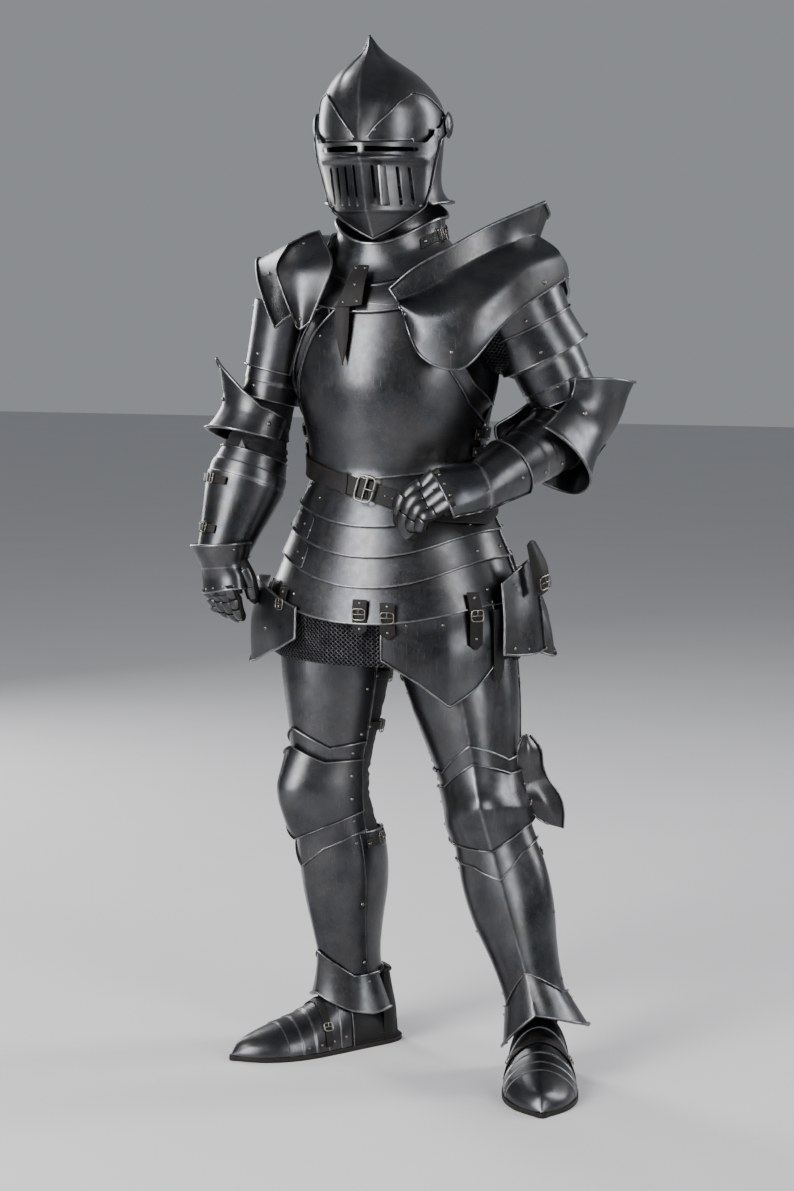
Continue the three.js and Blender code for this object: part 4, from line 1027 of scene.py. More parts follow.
RIGHT_FLAP_NET = [
    [v3(-170, -104, 1500), v3(-176, -146, 1458), v3(-158, -162, 1418), v3(-131, -164, 1360)],
    [v3(-142, -96, 1516), v3(-126, -156, 1462), v3(-122, -172, 1420), v3(-120, -174, 1352)],
    [v3(-118, -88, 1524), v3(-70, -150, 1466), v3(-80, -168, 1418), v3(-104, -170, 1364)],
]
ARMS = {
    "left": [v3(226, -130, 1083), v3(325, 60, 1180), v3(205, 0, 1452)],
    "right": [v3(-316, -94, 920), v3(-256, -16, 1172), v3(-196, 0, 1444)],
}
ARM_SECTIONS = {
    "right": [[0, 40, 40, 38, 38], [60, 46, 46, 42, 42], [130, 52, 52, 48, 48], [190, 54, 54, 52, 52],
              [250, 52, 52, 52, 52], [310, 50, 50, 50, 50], [400, 52, 52, 52, 52], [470, 58, 58, 56, 56],
              [540, 64, 64, 62, 62]],
    "left": [[0, 40, 40, 38, 38], [60, 46, 46, 42, 42], [130, 54, 54, 50, 50], [190, 60, 60, 56, 56],
             [250, 61, 61, 60, 60], [310, 61, 61, 60, 60], [400, 64, 64, 62, 62], [470, 70, 70, 68, 68],
             [540, 76, 76, 74, 74]],
}
OUTWARD = {"left": v3(0.95, -0.3, 0).normalized(), "right": v3(-0.95, -0.3, 0).normalized()}


def towards_elbow(wrist, elbow, shoulder):
    return ((elbow - shoulder).normalized() + (elbow - wrist).normalized()).normalized()


arms = {side: Limb(ARMS[side], towards_elbow(*ARMS[side]), ARM_SECTIONS[side]) for side in ARMS}
outer_arms = {side: Limb(ARMS[side], OUTWARD[side], ARM_SECTIONS[side]) for side in ARMS}


def make_shoulders():
    left = net(LEFT_SHOULDER_NET, 1, 4)
    turn = facing(left)
    plate("pauldron_left_steel", left, 84, 40, ["pauldron_left"], turn=turn,
          roll={"low": 2.0, "high": 1.4, "start": 1.2, "end": 1.2})
    rivets(left, [(0.03, 0.85), (0.245, 0.9), (0.52, 0.9), (0.66, 0.85), (0.86, 0.9)], 3.6, turn)
    right = net(RIGHT_SHOULDER_NET)
    turn = facing(right)
    plate("pauldron_right_steel", right, 64, 30, ["pauldron_right"], turn=turn,
          roll={"low": 1.4, "high": 1.8, "start": 1.2, "end": 1.2})
    rivets(right, [(0.3, 0.86), (0.5, 0.86), (0.7, 0.86)], 3.6, turn)
    flap = net(RIGHT_FLAP_NET)
    turn = facing(flap)
    plate("shoulder_flap_steel", flap, 26, 34, ["shoulder_flap_right"], turn=turn,
          roll={"start": 1.7, "end": 1.7, "high": 1.5, "low": 1.4})
    rivets(flap, [(0.5, 0.92), (0.5, 0.08)], 3.2, turn)


# Name, side, reach in degrees, low edge, high edge, offset below, offset above
UPPER_ARM_PLATES = [
    ["pauldron_lame_left_1", "left", 120, 412, 490, 16, 20], ["pauldron_lame_left_2", "left", 120, 350, 428, 24, 13],
    ["rerebrace_left", "left", 180, 262, 424, 2, 11], ["pauldron_lame_right", "right", 120, 372, 492, 8, 11],
    ["rerebrace_right", "right", 180, 316, 420, 2, 6],
]
COUTERS = {
    "left": {
        "facing": v3(0.5, 0.76, -0.36).normalized(),
        "joints": [v3(284, -12, 1128), v3(326, 60, 1204), v3(326, 84, 1310)],
        "sections": [[0, 100, 100, 104, 96], [40, 86, 86, 88, 82], [84, 76, 76, 80, 74], [130, 84, 84, 90, 80],
                     [176, 98, 98, 108, 90]],
        "low": [[0, 4], [180, -8]], "high": [[0, 180], [60, 164], [140, 150]], "reach": 138,
    },
    "right": {
        "facing": v3(-0.86, -0.5, 0).normalized(),
        "joints": [v3(-274, -50, 1130), v3(-256, -24, 1196), v3(-244, -14, 1300)],
        "sections": [[0, 74, 74, 84, 70], [36, 68, 68, 74, 66], [64, 66, 66, 72, 66], [110, 70, 70, 80, 68],
                     [160, 76, 76, 96, 72]],
        "low": [[0, 2], [60, 8], [140, 24]], "high": [[0, 156], [40, 116], [80, 72], [140, 58]], "reach": 128,
    },
}
VAMBRACE_SECTIONS = {
    "left": [[0, 43, 43, 41, 41], [60, 50, 50, 47, 47], [130, 59, 59, 56, 56], [190, 63, 63, 60, 60]],
    "right": [[0, 46, 46, 44, 44], [60, 56, 56, 52, 52], [130, 70, 70, 64, 64], [165, 73, 73, 68, 68],
              [205, 62, 62, 60, 60]],
}
# Low edge, high edge, rows and lame lines
VAMBRACES = {"left": (14, 172, 26, (0.5, 0.63, 0.76)), "right": (0, 204, 30, (0.76, 0.88))}
COUTER_BEND = 30


def ridge_along(height, width, at=0.0):
    return lambda a, h, v: height * max(0.0, 1 - abs(a - at) / width)


def gather(angle, height, v):
    """The mail that fills the armpit, out from the arm on the side of the body."""
    _, _, left, ahead = arms["left"].frame_at(height)
    way = left * math.sin(math.radians(angle)) + ahead * math.cos(math.radians(angle))
    return 62 * max(0.0, way.dot(v3(-0.93, -0.36, 0))) ** 2 * min(max((height - 325) / 50, 0), 1)


def couter_limb(side):
    spec = COUTERS[side]
    return Limb(spec["joints"], spec["facing"], spec["sections"], COUTER_BEND)


def make_arms():
    for name, side, reach, low, high, out_low, out_high in UPPER_ARM_PLATES:
        closed = reach == 180
        surface = on(outer_arms[side], -reach, reach, low, high, [[0, out_low], [1, out_high]])
        lames = {"rerebrace_left": (0.22, 0.5), "rerebrace_right": (0.3, 0.62)}.get(name, ())
        roll = {"low": 1.3} if closed else {"low": 1.5, "start": 1.1, "end": 1.1}
        plate(f"{name}_steel", surface, 64, 16, [name], roll=roll, closed=closed, lines=lames, rise=-1.8)
        u = (-52 + reach) / (2 * reach)
        rivets(surface, [(u, 0.2), (1 - u, 0.2), (0.5, 0.88)], 3.4)
    for side in ("left", "right"):
        spec = COUTERS[side]
        reach = spec["reach"]
        elbow = on(couter_limb(side), -reach, reach, spec["low"], spec["high"], shape=ridge_along(4, 26))
        plate(f"couter_{side}_steel", elbow, 64, 26, [f"couter_{side}"],
              roll={"low": 1.7, "high": 1.6, "start": 1.2, "end": 1.2})
        rivets(elbow, [(0.1, 0.5), (0.9, 0.5), (0.5, 0.46)], 4.2)
        low, high, rows, lames = VAMBRACES[side]
        fore = on(arms[side], -180, 180, low, high, sections=VAMBRACE_SECTIONS[side])
        plate(f"vambrace_{side}_steel", fore, 48, rows, [f"vambrace_{side}"], closed=True, lines=lames,
              roll={"low": 1.6, "high": 1.2})
        rivets(fore, [(u, v) for u in (0.36, 0.64) for v in (0.12, 0.45, 0.7)], 3.2, lift=1.2)
        cover = {
            "left": on(arms[side], -180, 180, 130, 470, [[0, 1], [0.2, -1], [0.4, -2.2], [1, -5]], shape=gather),
            "right": on(arms[side], -180, 180, 140, 470, [[0, 3], [0.2, 5], [0.4, -2], [1, -5]],
                        shape=folds(3, 9, 15, 60, lambda a, h: max(0.0, 1 - abs(h - 225) / 75))),
        }[side]
        piece = plate(f"sleeve_{side}_{'mail' if side == 'left' else 'padding'}", cover, 56, 60, [f"sleeve_{side}"],
                      wall=2.4, finish="mail" if side == "left" else "cloth", closed=True, edge=0)
        declare_cloth(cover)
    # Elbow strap and buckle on the outer side of the left elbow
    strap = on(couter_limb("left"), -24, 16, 72, 92, 3.4)
    plate("elbow_strap", strap, 20, 4, wall=2.2, finish="leather", edge=0.6)
    buckle_on(strap, 0.6, 0.5, 26, 22, lift=2.4)
    for side, low, angle in (("left", 40, 140), ("left", 104, 140), ("right", 40, 150), ("right", 130, 150)):
        out = 5.2 if low < 100 else 8
        band = on(arms[side], angle - 26, angle + 26, low, low + 15, out, VAMBRACE_SECTIONS[side])
        plate(f"forearm_strap_{side}_{low}", band, 16, 4, wall=2, finish="leather", edge=0.5)
        buckle_on(band, 0.5, 0.5, 20, 17, lift=2.0)


# Hands: height from the cuff, left, right, back of the hand, palm
HAND_SECTIONS = [
    [0, 54, 54, 50, 50], [30, 48, 48, 44, 44], [56, 42, 42, 36, 36], [90, 46, 46, 27, 24], [125, 46, 46, 24, 20],
    [160, 44, 44, 21, 18], [195, 38, 38, 17, 15], [215, 26, 26, 12, 10], [228, 0, 0, 0, 0],
]
HANDS = {
    "left": ([v3(246, -92, 1104), v3(214, -142, 1078), v3(167, -180, 1071), v3(108, -212, 1042), v3(95, -202, 1005),
              v3(112, -178, 990)],
             v3(-0.25, -0.9, 0.35).normalized()),
    "right": ([v3(-308, -104, 952), v3(-304, -106, 900), v3(-298, -112, 856), v3(-293, -104, 826), v3(-285, -80, 815)],
              v3(-0.42, -0.9, 0).normalized()),
}
# Finger: offset across the hand, end, radius
FINGERS = [[-33, 200, 11.0], [-11, 216, 12.0], [11, 214, 12.0], [33, 196, 10.5]]
FINGER_PLATES = 3
HAND_LENGTH = 228
THUMB_SECTIONS = [[0, 15, 15, 15, 15], [50, 13, 13, 13, 13], [78, 11, 11, 11, 11], [92, 0, 0, 0, 0]]


def finger(hand, scale, across, start, end, radius, out=0.0, spread_to=180.0, tip=True, pillow=0.0):
    """A finger, or one squared plate on it, from start to end along the hand."""

    def surface(u, v):
        height = (start + (end - start) * v) * scale
        knuckle = 17 * max(0.0, min(1.0, (150 - height / scale) / 40))
        centre, _, left, ahead = hand.frame_at(height)
        taper = 1 - 0.16 * v
        if tip and v > 0.86:
            taper *= math.sqrt(max(0.0, 1 - ((v - 0.86) / 0.14) ** 2))
        angle = math.radians(-spread_to + 2 * spread_to * u)
        reach = radius * taper + out + pillow * math.sin(math.pi * v)
        flat = 1.0 if tip else 0.55
        crown = math.copysign(abs(math.cos(angle)) ** flat, math.cos(angle))
        sideways = across * (1 - 0.1 * v) + reach * math.sin(angle)
        return centre + left * sideways + ahead * (2 + knuckle + reach * 0.95 * crown)

    return surface


def make_hands():
    for side in ("left", "right"):
        joints, back = HANDS[side]
        hand = Limb(joints, back, HAND_SECTIONS, 14)
        scale = hand.length / HAND_LENGTH
        sections = [[h * scale, *reach] for h, *reach in HAND_SECTIONS]
        reach_to = 118 if side == "left" else 124
        palm = on(hand, -180, 180, 50 * scale, (reach_to + 16) * scale, -1, sections)
        parts = [plate("palm", palm, 32, 14, wall=2, closed=True, edge=0, bare=True)]
        for across, end, radius in FINGERS:
            tube = finger(hand, scale, across, reach_to - 4, end + 6, radius)
            parts.append(plate("finger", tube, 14, 20, wall=1.6, closed=True, edge=0, bare=True))
        centre, up, left, ahead = hand.frame_at(100 * scale)
        way = -1 if side == "right" else 1
        root = centre + left * (34 * way) - ahead * 10
        thumb_path = [root - up * 34, root + left * (12 * way) - ahead * 12,
                      root + left * (6 * way) - ahead * 26 + up * 44]
        thumb = Limb(thumb_path, ahead, THUMB_SECTIONS, 10)
        tube = on(thumb, -180, 180, 0, min(92, thumb.length + 6))
        parts.append(plate("thumb", tube, 16, 12, wall=1.6, closed=True, edge=0, bare=True))
        dress(join(f"glove_{side}_leather", parts), "glove", nodes=[f"glove_{side}"])
        cuff = on(hand, -120, 120, 0, (reach_to + 4) * scale, STEP + 0.6, sections)
        plate(f"gauntlet_{side}_steel", cuff, 48, 26, [f"gauntlet_{side}"], lines=(0.5,),
              rise=1.6, roll={"low": 1.6, "start": 0.9, "end": 0.9, "high": 1.1})
        knuckles = [(0.26 + 0.12 * k, 0.95) for k in range(5)]
        rivets(cuff, [(0.08, 0.56), (0.92, 0.56), (0.2, 0.12), (0.8, 0.12), *knuckles], 2.6, lift=1.0)
        scales = []
        for across, end, radius in FINGERS:
            first, last = reach_to + 5, end - 4
            for k in range(FINGER_PLATES):
                a = first + (last - first) * k / FINGER_PLATES
                b = first + (last - first) * (k + 1) / FINGER_PLATES - 2
                cover = finger(hand, scale, across, a, b, radius, 2.0, 58, False, 1.2)
                scales.append(plate("scale", cover, 12, 7, wall=1.1, edge=0.3, bare=True))
        thumb_plate = on(thumb, -70, 70, 22, 52, 2.4)
        scales.append(plate("thumb_scale", thumb_plate, 12, 6, wall=1.1, edge=0.25, bare=True))
        scales.append(plate("thumb_tip", on(thumb, -65, 65, 54, 76, 2.2), 12, 5, wall=1.1, edge=0.25, bare=True))
        dress(join(f"finger_plates_{side}_steel", scales), "steel", nodes=[f"finger_plates_{side}"])
        strap = on(hand, 122, 238, 60 * scale, 74 * scale, 3, sections)
        plate(f"gauntlet_strap_{side}", strap, 16, 3, wall=1.8, finish="leather", edge=0.5)


# Helmet. Heights are above the floor, angles from the way that the helmet faces.
HEAD_YAW = 7
HEAD_FRONT = v3(math.sin(math.radians(HEAD_YAW)), -math.cos(math.radians(HEAD_YAW)), 0)
HEAD_CENTRE = v3(-24, -9, 0)
SKULL_SECTIONS = [
    [1574, 106, 106, 118, 136, 0], [1590, 98, 98, 118, 117, 0], [1620, 99, 99, 120, 108, 0],
    [1670, 108, 108, 122, 113, 2], [1715, 113, 113, 124, 122, 2], [1760, 105, 105, 115, 117, 2],
    [1800, 78, 78, 86, 89, 2], [1825, 48, 48, 54, 56, 2], [1840, 28, 28, 31, 33, 1], [1855, 14, 14, 15, 16, 1],
    [1868, 6.5, 6.5, 7, 7.5, 0], [1878, 0.4, 0.4, 0.4, 0.4, 0],
]
VISOR_SECTIONS = [
    [1500, 84, 84, 106, 88, 12], [1515, 89, 89, 114, 90, 13], [1557, 101, 101, 142, 95, 11],
    [1563, 103, 103, 145, 96, 10], [1600, 108, 108, 149, 100, 10], [1640, 114, 114, 152, 108, 11],
    [1649, 116, 116, 159, 111, 12], [1653, 117, 117, 159, 112, 12], [1659, 118, 118, 149, 114, 9],
    [1690, 120, 120, 143, 118, 8], [1740, 120, 120, 133, 118, 6],
]
PIVOT_HEIGHT = 1715
SLITS = [17, 36, 55, 72]
head = Limb([HEAD_CENTRE, v3(-24, -9, 1900)], HEAD_FRONT, SKULL_SECTIONS)


def head_pose(p, turn):
    """Turns the front of the helmet a little about its axis, slants the chin and leans the peak."""
    x, y = p.x - HEAD_CENTRE.x, p.y - HEAD_CENTRE.y
    ahead = max(0.0, (x * HEAD_FRONT.x + y * HEAD_FRONT.y) / max(math.hypot(x, y), 1e-6))
    angle = math.radians(turn) * ahead * ahead
    c, s = math.cos(angle), math.sin(angle)
    lean = 24 * max(0.0, (p.z - 1740) / 138) ** 1.15 - 0.085 * max(0.0, 1690 - p.z)
    return v3(HEAD_CENTRE.x + x * c - y * s - 0.94 * lean, HEAD_CENTRE.y + x * s + y * c - 0.34 * lean, p.z)


def posed(surface, turn):
    return lambda u, v: head_pose(surface(u, v), turn)


def crest(a, h, v):
    """The sharp comb from the peak to the sight, with a flute on each side, the ridge behind and the tail's flare."""
    up = min(max((h - 1690) / 110, 0), 1)
    width = 11 + 15 * up
    fade = min(1.0, max(0.0, (1876 - h) / 40))
    blade = (12 - 1.5 * up) * max(0.0, 1 - abs(a) / width) ** 1.35
    flute = -2.2 * math.exp(-(((abs(a) - width - 7) / 7) ** 2)) * (0.3 + 0.7 * up)
    nape = 3.2 * max(0.0, 1 - (180 - abs(a)) / 16) * max(0.0, min(1, (h - 1600) / 60))
    flare = 17 * math.exp(-max(0.0, h - 1574) / 17) * min(1.0, max(0.0, (abs(a) - 68) / 26))
    return (blade + flute) * fade + nape + flare


FACE_LOW = [[0, 1512], [20, 1527], [40, 1546], [56, 1566], [63, 1600], [72, 1684], [84, 1698], [99, 1698]]
FACE_HIGH = [[0, 1678], [56, 1680], [78, 1716], [86, 1734], [99, 1734]]
CHEEK = 57


def wedge(u, v):
    """The visor: flat cheeks from the ridge to the corners of the face, round above the lip, with a crease along
    the foot of the breaths."""
    a = -99 + 198 * u
    low, high = edge_height(FACE_LOW, a), edge_height(FACE_HIGH, a)
    h = low + (high - low) * v
    p = head.point(h, a, 0, VISOR_SECTIONS)
    flat = min(1.0, max(0.0, (1660 - h) / 8))
    if abs(a) < CHEEK and flat:
        ridge = head.point(h, 0, 0, VISOR_SECTIONS)
        corner = head.point(h, math.copysign(CHEEK, a), 0, VISOR_SECTIONS)
        t = abs(a) / CHEEK
        out = ((ridge + corner) / 2 - head.frame_at(h)[0]).normalized()
        p = p.lerp(ridge.lerp(corner, t) + out * (9 * 4 * t * (1 - t)), flat)
    crease = 1.8 * max(0.0, 1 - abs(h - 1560) / 5) * min(1.0, max(0.0, (66 - abs(a)) / 10))
    return p + (p - head.frame_at(h)[0]).normalized() * crease


def head_cutter(x, y, z, width, depth, height, round_off=0.45, taper=1.0):
    """A long cutter with rounded edges, in front of the face, narrower at its outer end."""
    deselect()
    bpy.ops.mesh.primitive_cube_add(size=1)
    cutter = bpy.context.object
    cutter.data.transform(Matrix.Diagonal((width * MM, depth * MM, height * MM, 1)))
    for vertex in cutter.data.vertices:
        vertex.co.z *= taper if vertex.co.x * x > 0 else 1
    active(cutter)
    radius = min(width, height) * round_off * taper
    long_edges = lambda: select_edges(cutter, lambda a, b: abs(a.y - b.y) > depth * MM * 0.5)
    in_edit(lambda: bpy.ops.mesh.select_all(action="DESELECT"))
    long_edges()
    bpy.ops.object.mode_set(mode="EDIT")
    bpy.ops.mesh.bevel(offset=radius * MM, segments=4)
    bpy.ops.object.mode_set(mode="OBJECT")
    turn = Matrix.Rotation(math.radians(HEAD_YAW), 4, "Z")
    at = in_frame(v3(HEAD_CENTRE.x, HEAD_CENTRE.y, z))
    cutter.data.transform(Matrix.Translation(at) @ turn @ Matrix.Translation((x * MM, y * MM, 0)))
    for vertex in cutter.data.vertices:
        p = vertex.co / MM + v3(0, 0, NECK_HEIGHT)
        vertex.co = in_frame(head_pose(p, -2))
    return cutter


def select_edges(piece, keep):
    """Selects the edges whose two ends pass a test, for the next edit."""
    for face in piece.data.polygons:
        face.select = False
    for vertex in piece.data.vertices:
        vertex.select = False
    for edge in piece.data.edges:
        a, b = (piece.data.vertices[i].co for i in edge.vertices)
        edge.select = keep(a, b)
    bpy.context.tool_settings.mesh_select_mode = (False, True, False)


def make_helmet():
    skull = posed(on(head, -180, 180, [[0, 1683], [46, 1686], [52, 1620], [60, 1572], [90, 1578], [180, 1575]], 1878,
                     spread=1.5, shape=crest), -5)
    # Painted highlight along the comb of the skull
    plate("helmet_skull_steel", skull, 128, 56, ["helmet_skull"], closed=True, roll={"low": 1.6}, ridge=0.5)
    brow = posed(on(head, -90, 90, 1680, [[0, 1684], [7, 1690], [11.5, 1703], [20, 1721], [34, 1750], [50, 1768],
                                          [64, 1764], [78, 1745], [90, 1730]], 2.4), -5)
    plate("helmet_brow_steel", brow, 72, 14, ["helmet_brow"], roll={"high": 0.5})
    rivets(brow, [(0.43, 0.86), (0.57, 0.86), (0.04, 0.8), (0.96, 0.8)], 2.8)
    face = posed(wedge, -2)
    cutters = []
    for side in (-1, 1):
        cutters.append(head_cutter(side * 47, -128, 1667.5, 82, 96, 10 if side > 0 else 12, taper=0.7))
        for x in SLITS:
            cutters.append(head_cutter(side * x, -124, 1603, 5, 100, 72 - (x - 17) * 0.12, 0.48))
    # Painted highlight along the ridge of the visor
    plate("visor_steel", face, 84, 72, ["visor"], roll={"low": 1.5, "start": 1.0, "end": 1.0}, body="visor",
          cutters=cutters, edge=0.3, ridge=0.5)
    rivets(face, [(0.012, 0.5), (0.988, 0.5)], 2.6, body="visor")
    rivets(face, [(0.235, 0.06), (0.765, 0.06)], 2.8, body="visor")
    # A domed disc on each pivot, turned from a profile
    for name, side in (("roundel_left", 1), ("roundel_right", -1)):
        deselect()
        bpy.ops.mesh.primitive_circle_add(vertices=40, radius=24 * MM, fill_type="TRIFAN")
        disc = bpy.context.object
        in_edit(
            lambda: bpy.ops.mesh.extrude_region_move(TRANSFORM_OT_translate={"value": (0, 0, 2.0 * MM)}),
        )
        for radius, rise in ((21.6, 0.6), (19, 2.6), (12, 2.2), (5.6, 1.0), (3.2, 1.2)):
            scale = radius / max(math.hypot(v.co.x, v.co.y) / MM for v in disc.data.vertices if v.select)
            bpy.ops.object.mode_set(mode="EDIT")
            bpy.ops.mesh.extrude_region_move(TRANSFORM_OT_translate={"value": (0, 0, rise * MM)})
            bpy.ops.transform.resize(value=(scale, scale, 1))
            bpy.ops.object.mode_set(mode="OBJECT")
        in_edit(lambda: bpy.ops.mesh.normals_make_consistent(inside=False))
        disc.name = f"{name}_disc"
        disc.data.attributes.new("rim", "FLOAT", "POINT")
        out_way = HEAD_FRONT.cross(v3(0, 0, -1)) * side
        at = v3(HEAD_CENTRE.x, HEAD_CENTRE.y, PIVOT_HEIGHT) + out_way * 120.8
        place(disc, at, out_way, v3(0, 0, 1))
        bevel = disc.modifiers.new("edge", "BEVEL")
        bevel.width = 0.5 * MM
        bevel.segments = 2
        apply_modifiers(disc)
        smooth(disc, 40)
        dress(disc, "steel", "harness", [name])
    # Hinge leaf at the corner of the face
    hinge = posed(on(head, 64, 74, 1690, 1706, 10.5), -2)
    plate("visor_hinge", hinge, 6, 8, wall=1.6, body="visor", edge=0.5)
    rivets(hinge, [(0.5, 0.25), (0.5, 0.75)], 2.4, body="visor")


# Legs: height, left, right, front, back, ridge
LEGS = {
    "left": ([v3(312, -90, 105), v3(192, -52, 483), v3(92, 0, 880)], v3(0.26, -0.966, 0)),
    "right": ([v3(-88, 2, 105), v3(-110, -44, 480), v3(-114, -6, 880)], v3(-0.56, -0.83, 0)),
}
LEG_SECTIONS = [
    [-60, 66, 66, 84, 60, 6], [0, 58, 58, 62, 58, 6], [60, 54, 54, 56, 56, 6], [120, 60, 60, 60, 68, 8],
    [200, 74, 74, 68, 88, 8], [270, 77, 77, 70, 92, 8], [330, 70, 70, 70, 80, 6], [390, 66, 66, 74, 70, 5],
    [450, 70, 70, 76, 76, 4], [520, 84, 84, 86, 90, 4], [600, 98, 98, 98, 100, 4], [700, 108, 108, 104, 106, 2],
    [800, 110, 110, 106, 108, 0],
]
POLEYN_SECTIONS = [
    [310, 73, 73, 80, 74, 6], [350, 73, 73, 96, 74, 8], [400, 74, 74, 108, 74, 9], [440, 74, 74, 96, 76, 8],
    [480, 78, 78, 84, 82, 6],
]
# Name, reach in degrees, offset below, offset above, low edge, high edge, sections
LEG_PLATES = [
    ["greave_front", 89.3, 2, 2, [[0, 32], [90, 32]], [[0, 306], [90, 334]], None],
    ["ankle_plate", 112, 19, 5, [[0, 16], [50, -16], [80, -30], [112, -30]],
     [[0, 92], [30, 66], [60, 40], [112, 36]], None],
    ["cuisse", 100, 2, 2, [[0, 470], [100, 478]], [[-100, 716], [-40, 714], [40, 672], [100, 652]], None],
    ["poleyn_lower", 100, 4.6, 4.6, [[0, 264], [34, 300], [75, 318], [100, 322]],
     [[0, 346], [100, 376]], None],
    ["poleyn_upper", 100, 4.5, 4.5, [[0, 432], [100, 420]], [[0, 508], [50, 472], [100, 486]], None],
    ["poleyn", 98, 4.4, 4.4, [[0, 318], [50, 342], [98, 360]],
     [[0, 474], [50, 446], [98, 452]], POLEYN_SECTIONS],
]
WING_NET = [
    [v3(257, -30, 614), v3(261, -28, 617), v3(266, -22, 614)],
    [v3(251, -44, 594), v3(269, -38, 593), v3(283, -14, 588)],
    [v3(249, -46, 556), v3(270, -34, 555), v3(286, -6, 553)], [v3(253, -44, 521), v3(276, -22, 529), v3(295, -2, 530)],
    [v3(267, -34, 484), v3(292, -24, 497), v3(315, 4, 499)], [v3(283, -24, 461), v3(304, -16, 467), v3(322, 6, 471)],
    [v3(300, -16, 449), v3(312, -6, 444), v3(322, 4, 439)],
]
# The ridge down the front of each plate: its rise and half width in degrees
LEG_RIDGES = {
    "greave_front": (6.5, 34), "ankle_plate": (5, 34), "cuisse": (4.5, 34), "poleyn_lower": (6.5, 36),
    "poleyn_upper": (6.0, 36), "poleyn": (6.5, 40),
}
LEG_ROLLS = {
    "greave_front": {"low": 1.2}, "ankle_plate": {"low": 1.7, "high": 1.0},
    "cuisse": {"high": 2.2, "start": 1.2, "end": 1.2}, "poleyn_lower": {"low": 1.3, "high": 0.9},
    "poleyn_upper": {"high": 1.3, "low": 0.9}, "poleyn": {"low": 1.2, "high": 1.2},
}
LEG_RIVETS = {
    "greave_front": [(0.04, 0.9), (0.04, 0.1), (0.96, 0.1), (0.96, 0.9), (0.04, 0.5), (0.96, 0.5)],
    "ankle_plate": [(0.12, 0.8), (0.88, 0.8)],
    "cuisse": [(0.04, 0.12), (0.96, 0.12), (0.96, 0.6), (0.96, 0.85), (0.04, 0.85)],
    "poleyn_lower": [(0.09, 0.45), (0.91, 0.45)],
    "poleyn_upper": [(0.09, 0.7), (0.91, 0.7)],
    "poleyn": [(0.08, 0.3), (0.92, 0.3), (0.08, 0.72), (0.92, 0.72)],
}


def knee_fold(a, h, v):
    """The ridge of the knee and the blunt fold across it."""
    rise, width = LEG_RIDGES["poleyn"]
    return rise * max(0.0, 1 - abs(a) / width) + 3.5 * max(0.0, 1 - abs(h - 396 + 0.25 * abs(a)) / 30)


def make_legs():
    for side in ("left", "right"):
        leg = Limb(*LEGS[side], LEG_SECTIONS, 70)
        calf = on(leg, 90.1, 269.9, 32, [[90, 318], [180, 300]], 2)
        plate(f"greave_back_{side}_steel", calf, 40, 30, [f"greave_back_{side}"], roll={"low": 1.2, "high": 1.2})
        for name, reach, low_out, high_out, low, high, sections in LEG_PLATES:
            if side == "left" and high[0][0] < 0:
                high = [[-a, h] for a, h in reversed(high)]
            rise, width = LEG_RIDGES[name]
            shape = ridge_along(rise if side == "left" else 0.5 * rise, width)
            if name == "poleyn":
                shape = knee_fold if side == "left" else ridge_along(2, 60)
            surface = on(leg, -reach, reach, low, high, [[0, low_out], [1, high_out]], sections, shape=shape)
            rows = 30 if name in ("greave_front", "cuisse", "poleyn") else 12
            # Painted highlight down the ridge of the left leg's plates
            wear_and_ridge_highlight = 0.5 if side == "left" else None
            plate(f"{name}_{side}_steel", surface, 56, rows, [f"{name}_{side}"], roll=LEG_ROLLS[name], ridge=wear_and_ridge_highlight)
            rivets(surface, LEG_RIVETS[name], 3.2)
        wrinkle = folds(5 if side == "left" else 8, 5.0, 20, 60,
                        lambda a, h: max(0.25, 1 - abs(h - 400) / 130) * (1.0 if abs(a) > 100 else 0.4))
        hose = on(leg, -180, 180, 300, 640, [[0, -5], [0.65, -5], [0.8, -2.6], [1, -2.2]], shape=wrinkle)
        piece = plate(f"hose_{side}_cloth", hose, 60, 70, [f"hose_{side}"], wall=2.4, finish="cloth", closed=True,
                      edge=0)
        declare_cloth(hose)
        # Straps that close the thigh and shin plates behind the leg
        inner = 1 if side == "right" else -1
        for height, out in ((505, 4.6), (600, 4.6), (286, 4.4)):
            band = on(leg, 98, 262, height, height + 17, out)
            plate(f"leg_strap_{side}_{height}", band, 30, 4, wall=2.2, finish="leather", edge=0.6)
            u = 0.16 if inner > 0 else 0.84
            buckle_on(band, u, 0.5, 24, 20, lift=2.4)
            rivets(band, [(0.02, 0.5), (0.98, 0.5)], 3)
    wing = net(WING_NET)
    turn = facing_front(wing)
    plate("knee_wing_steel", wing, 36, 20, turn=turn, roll={"low": 1.2, "high": 1.2})
    rivet(wing, 0.64, 0.14, 4.4, turn)


# Feet: share of the length from the heel, half width, height
FEET = {"left": (v3(284, -23, 0), v3(385, -325, 0)), "right": (v3(-24, 53, 0), v3(-253, -200, 0))}
SOLE = 9
FOOT_SECTIONS = [
    [0, 30, 110], [0.1, 42, 118], [0.22, 48, 120], [0.34, 54, 116], [0.46, 60, 84], [0.6, 65, 60], [0.74, 61, 46],
    [0.87, 44, 32], [0.95, 22, 20], [1, 0.3, 0.5],
]


# The back of the shoe, up into the shin plates: height, left, right, front, back
HEEL_SECTIONS = [[0, 38, 38, 34, 36], [60, 36, 36, 34, 34], [100, 36, 36, 34, 25], [142, 38, 38, 34, 14]]


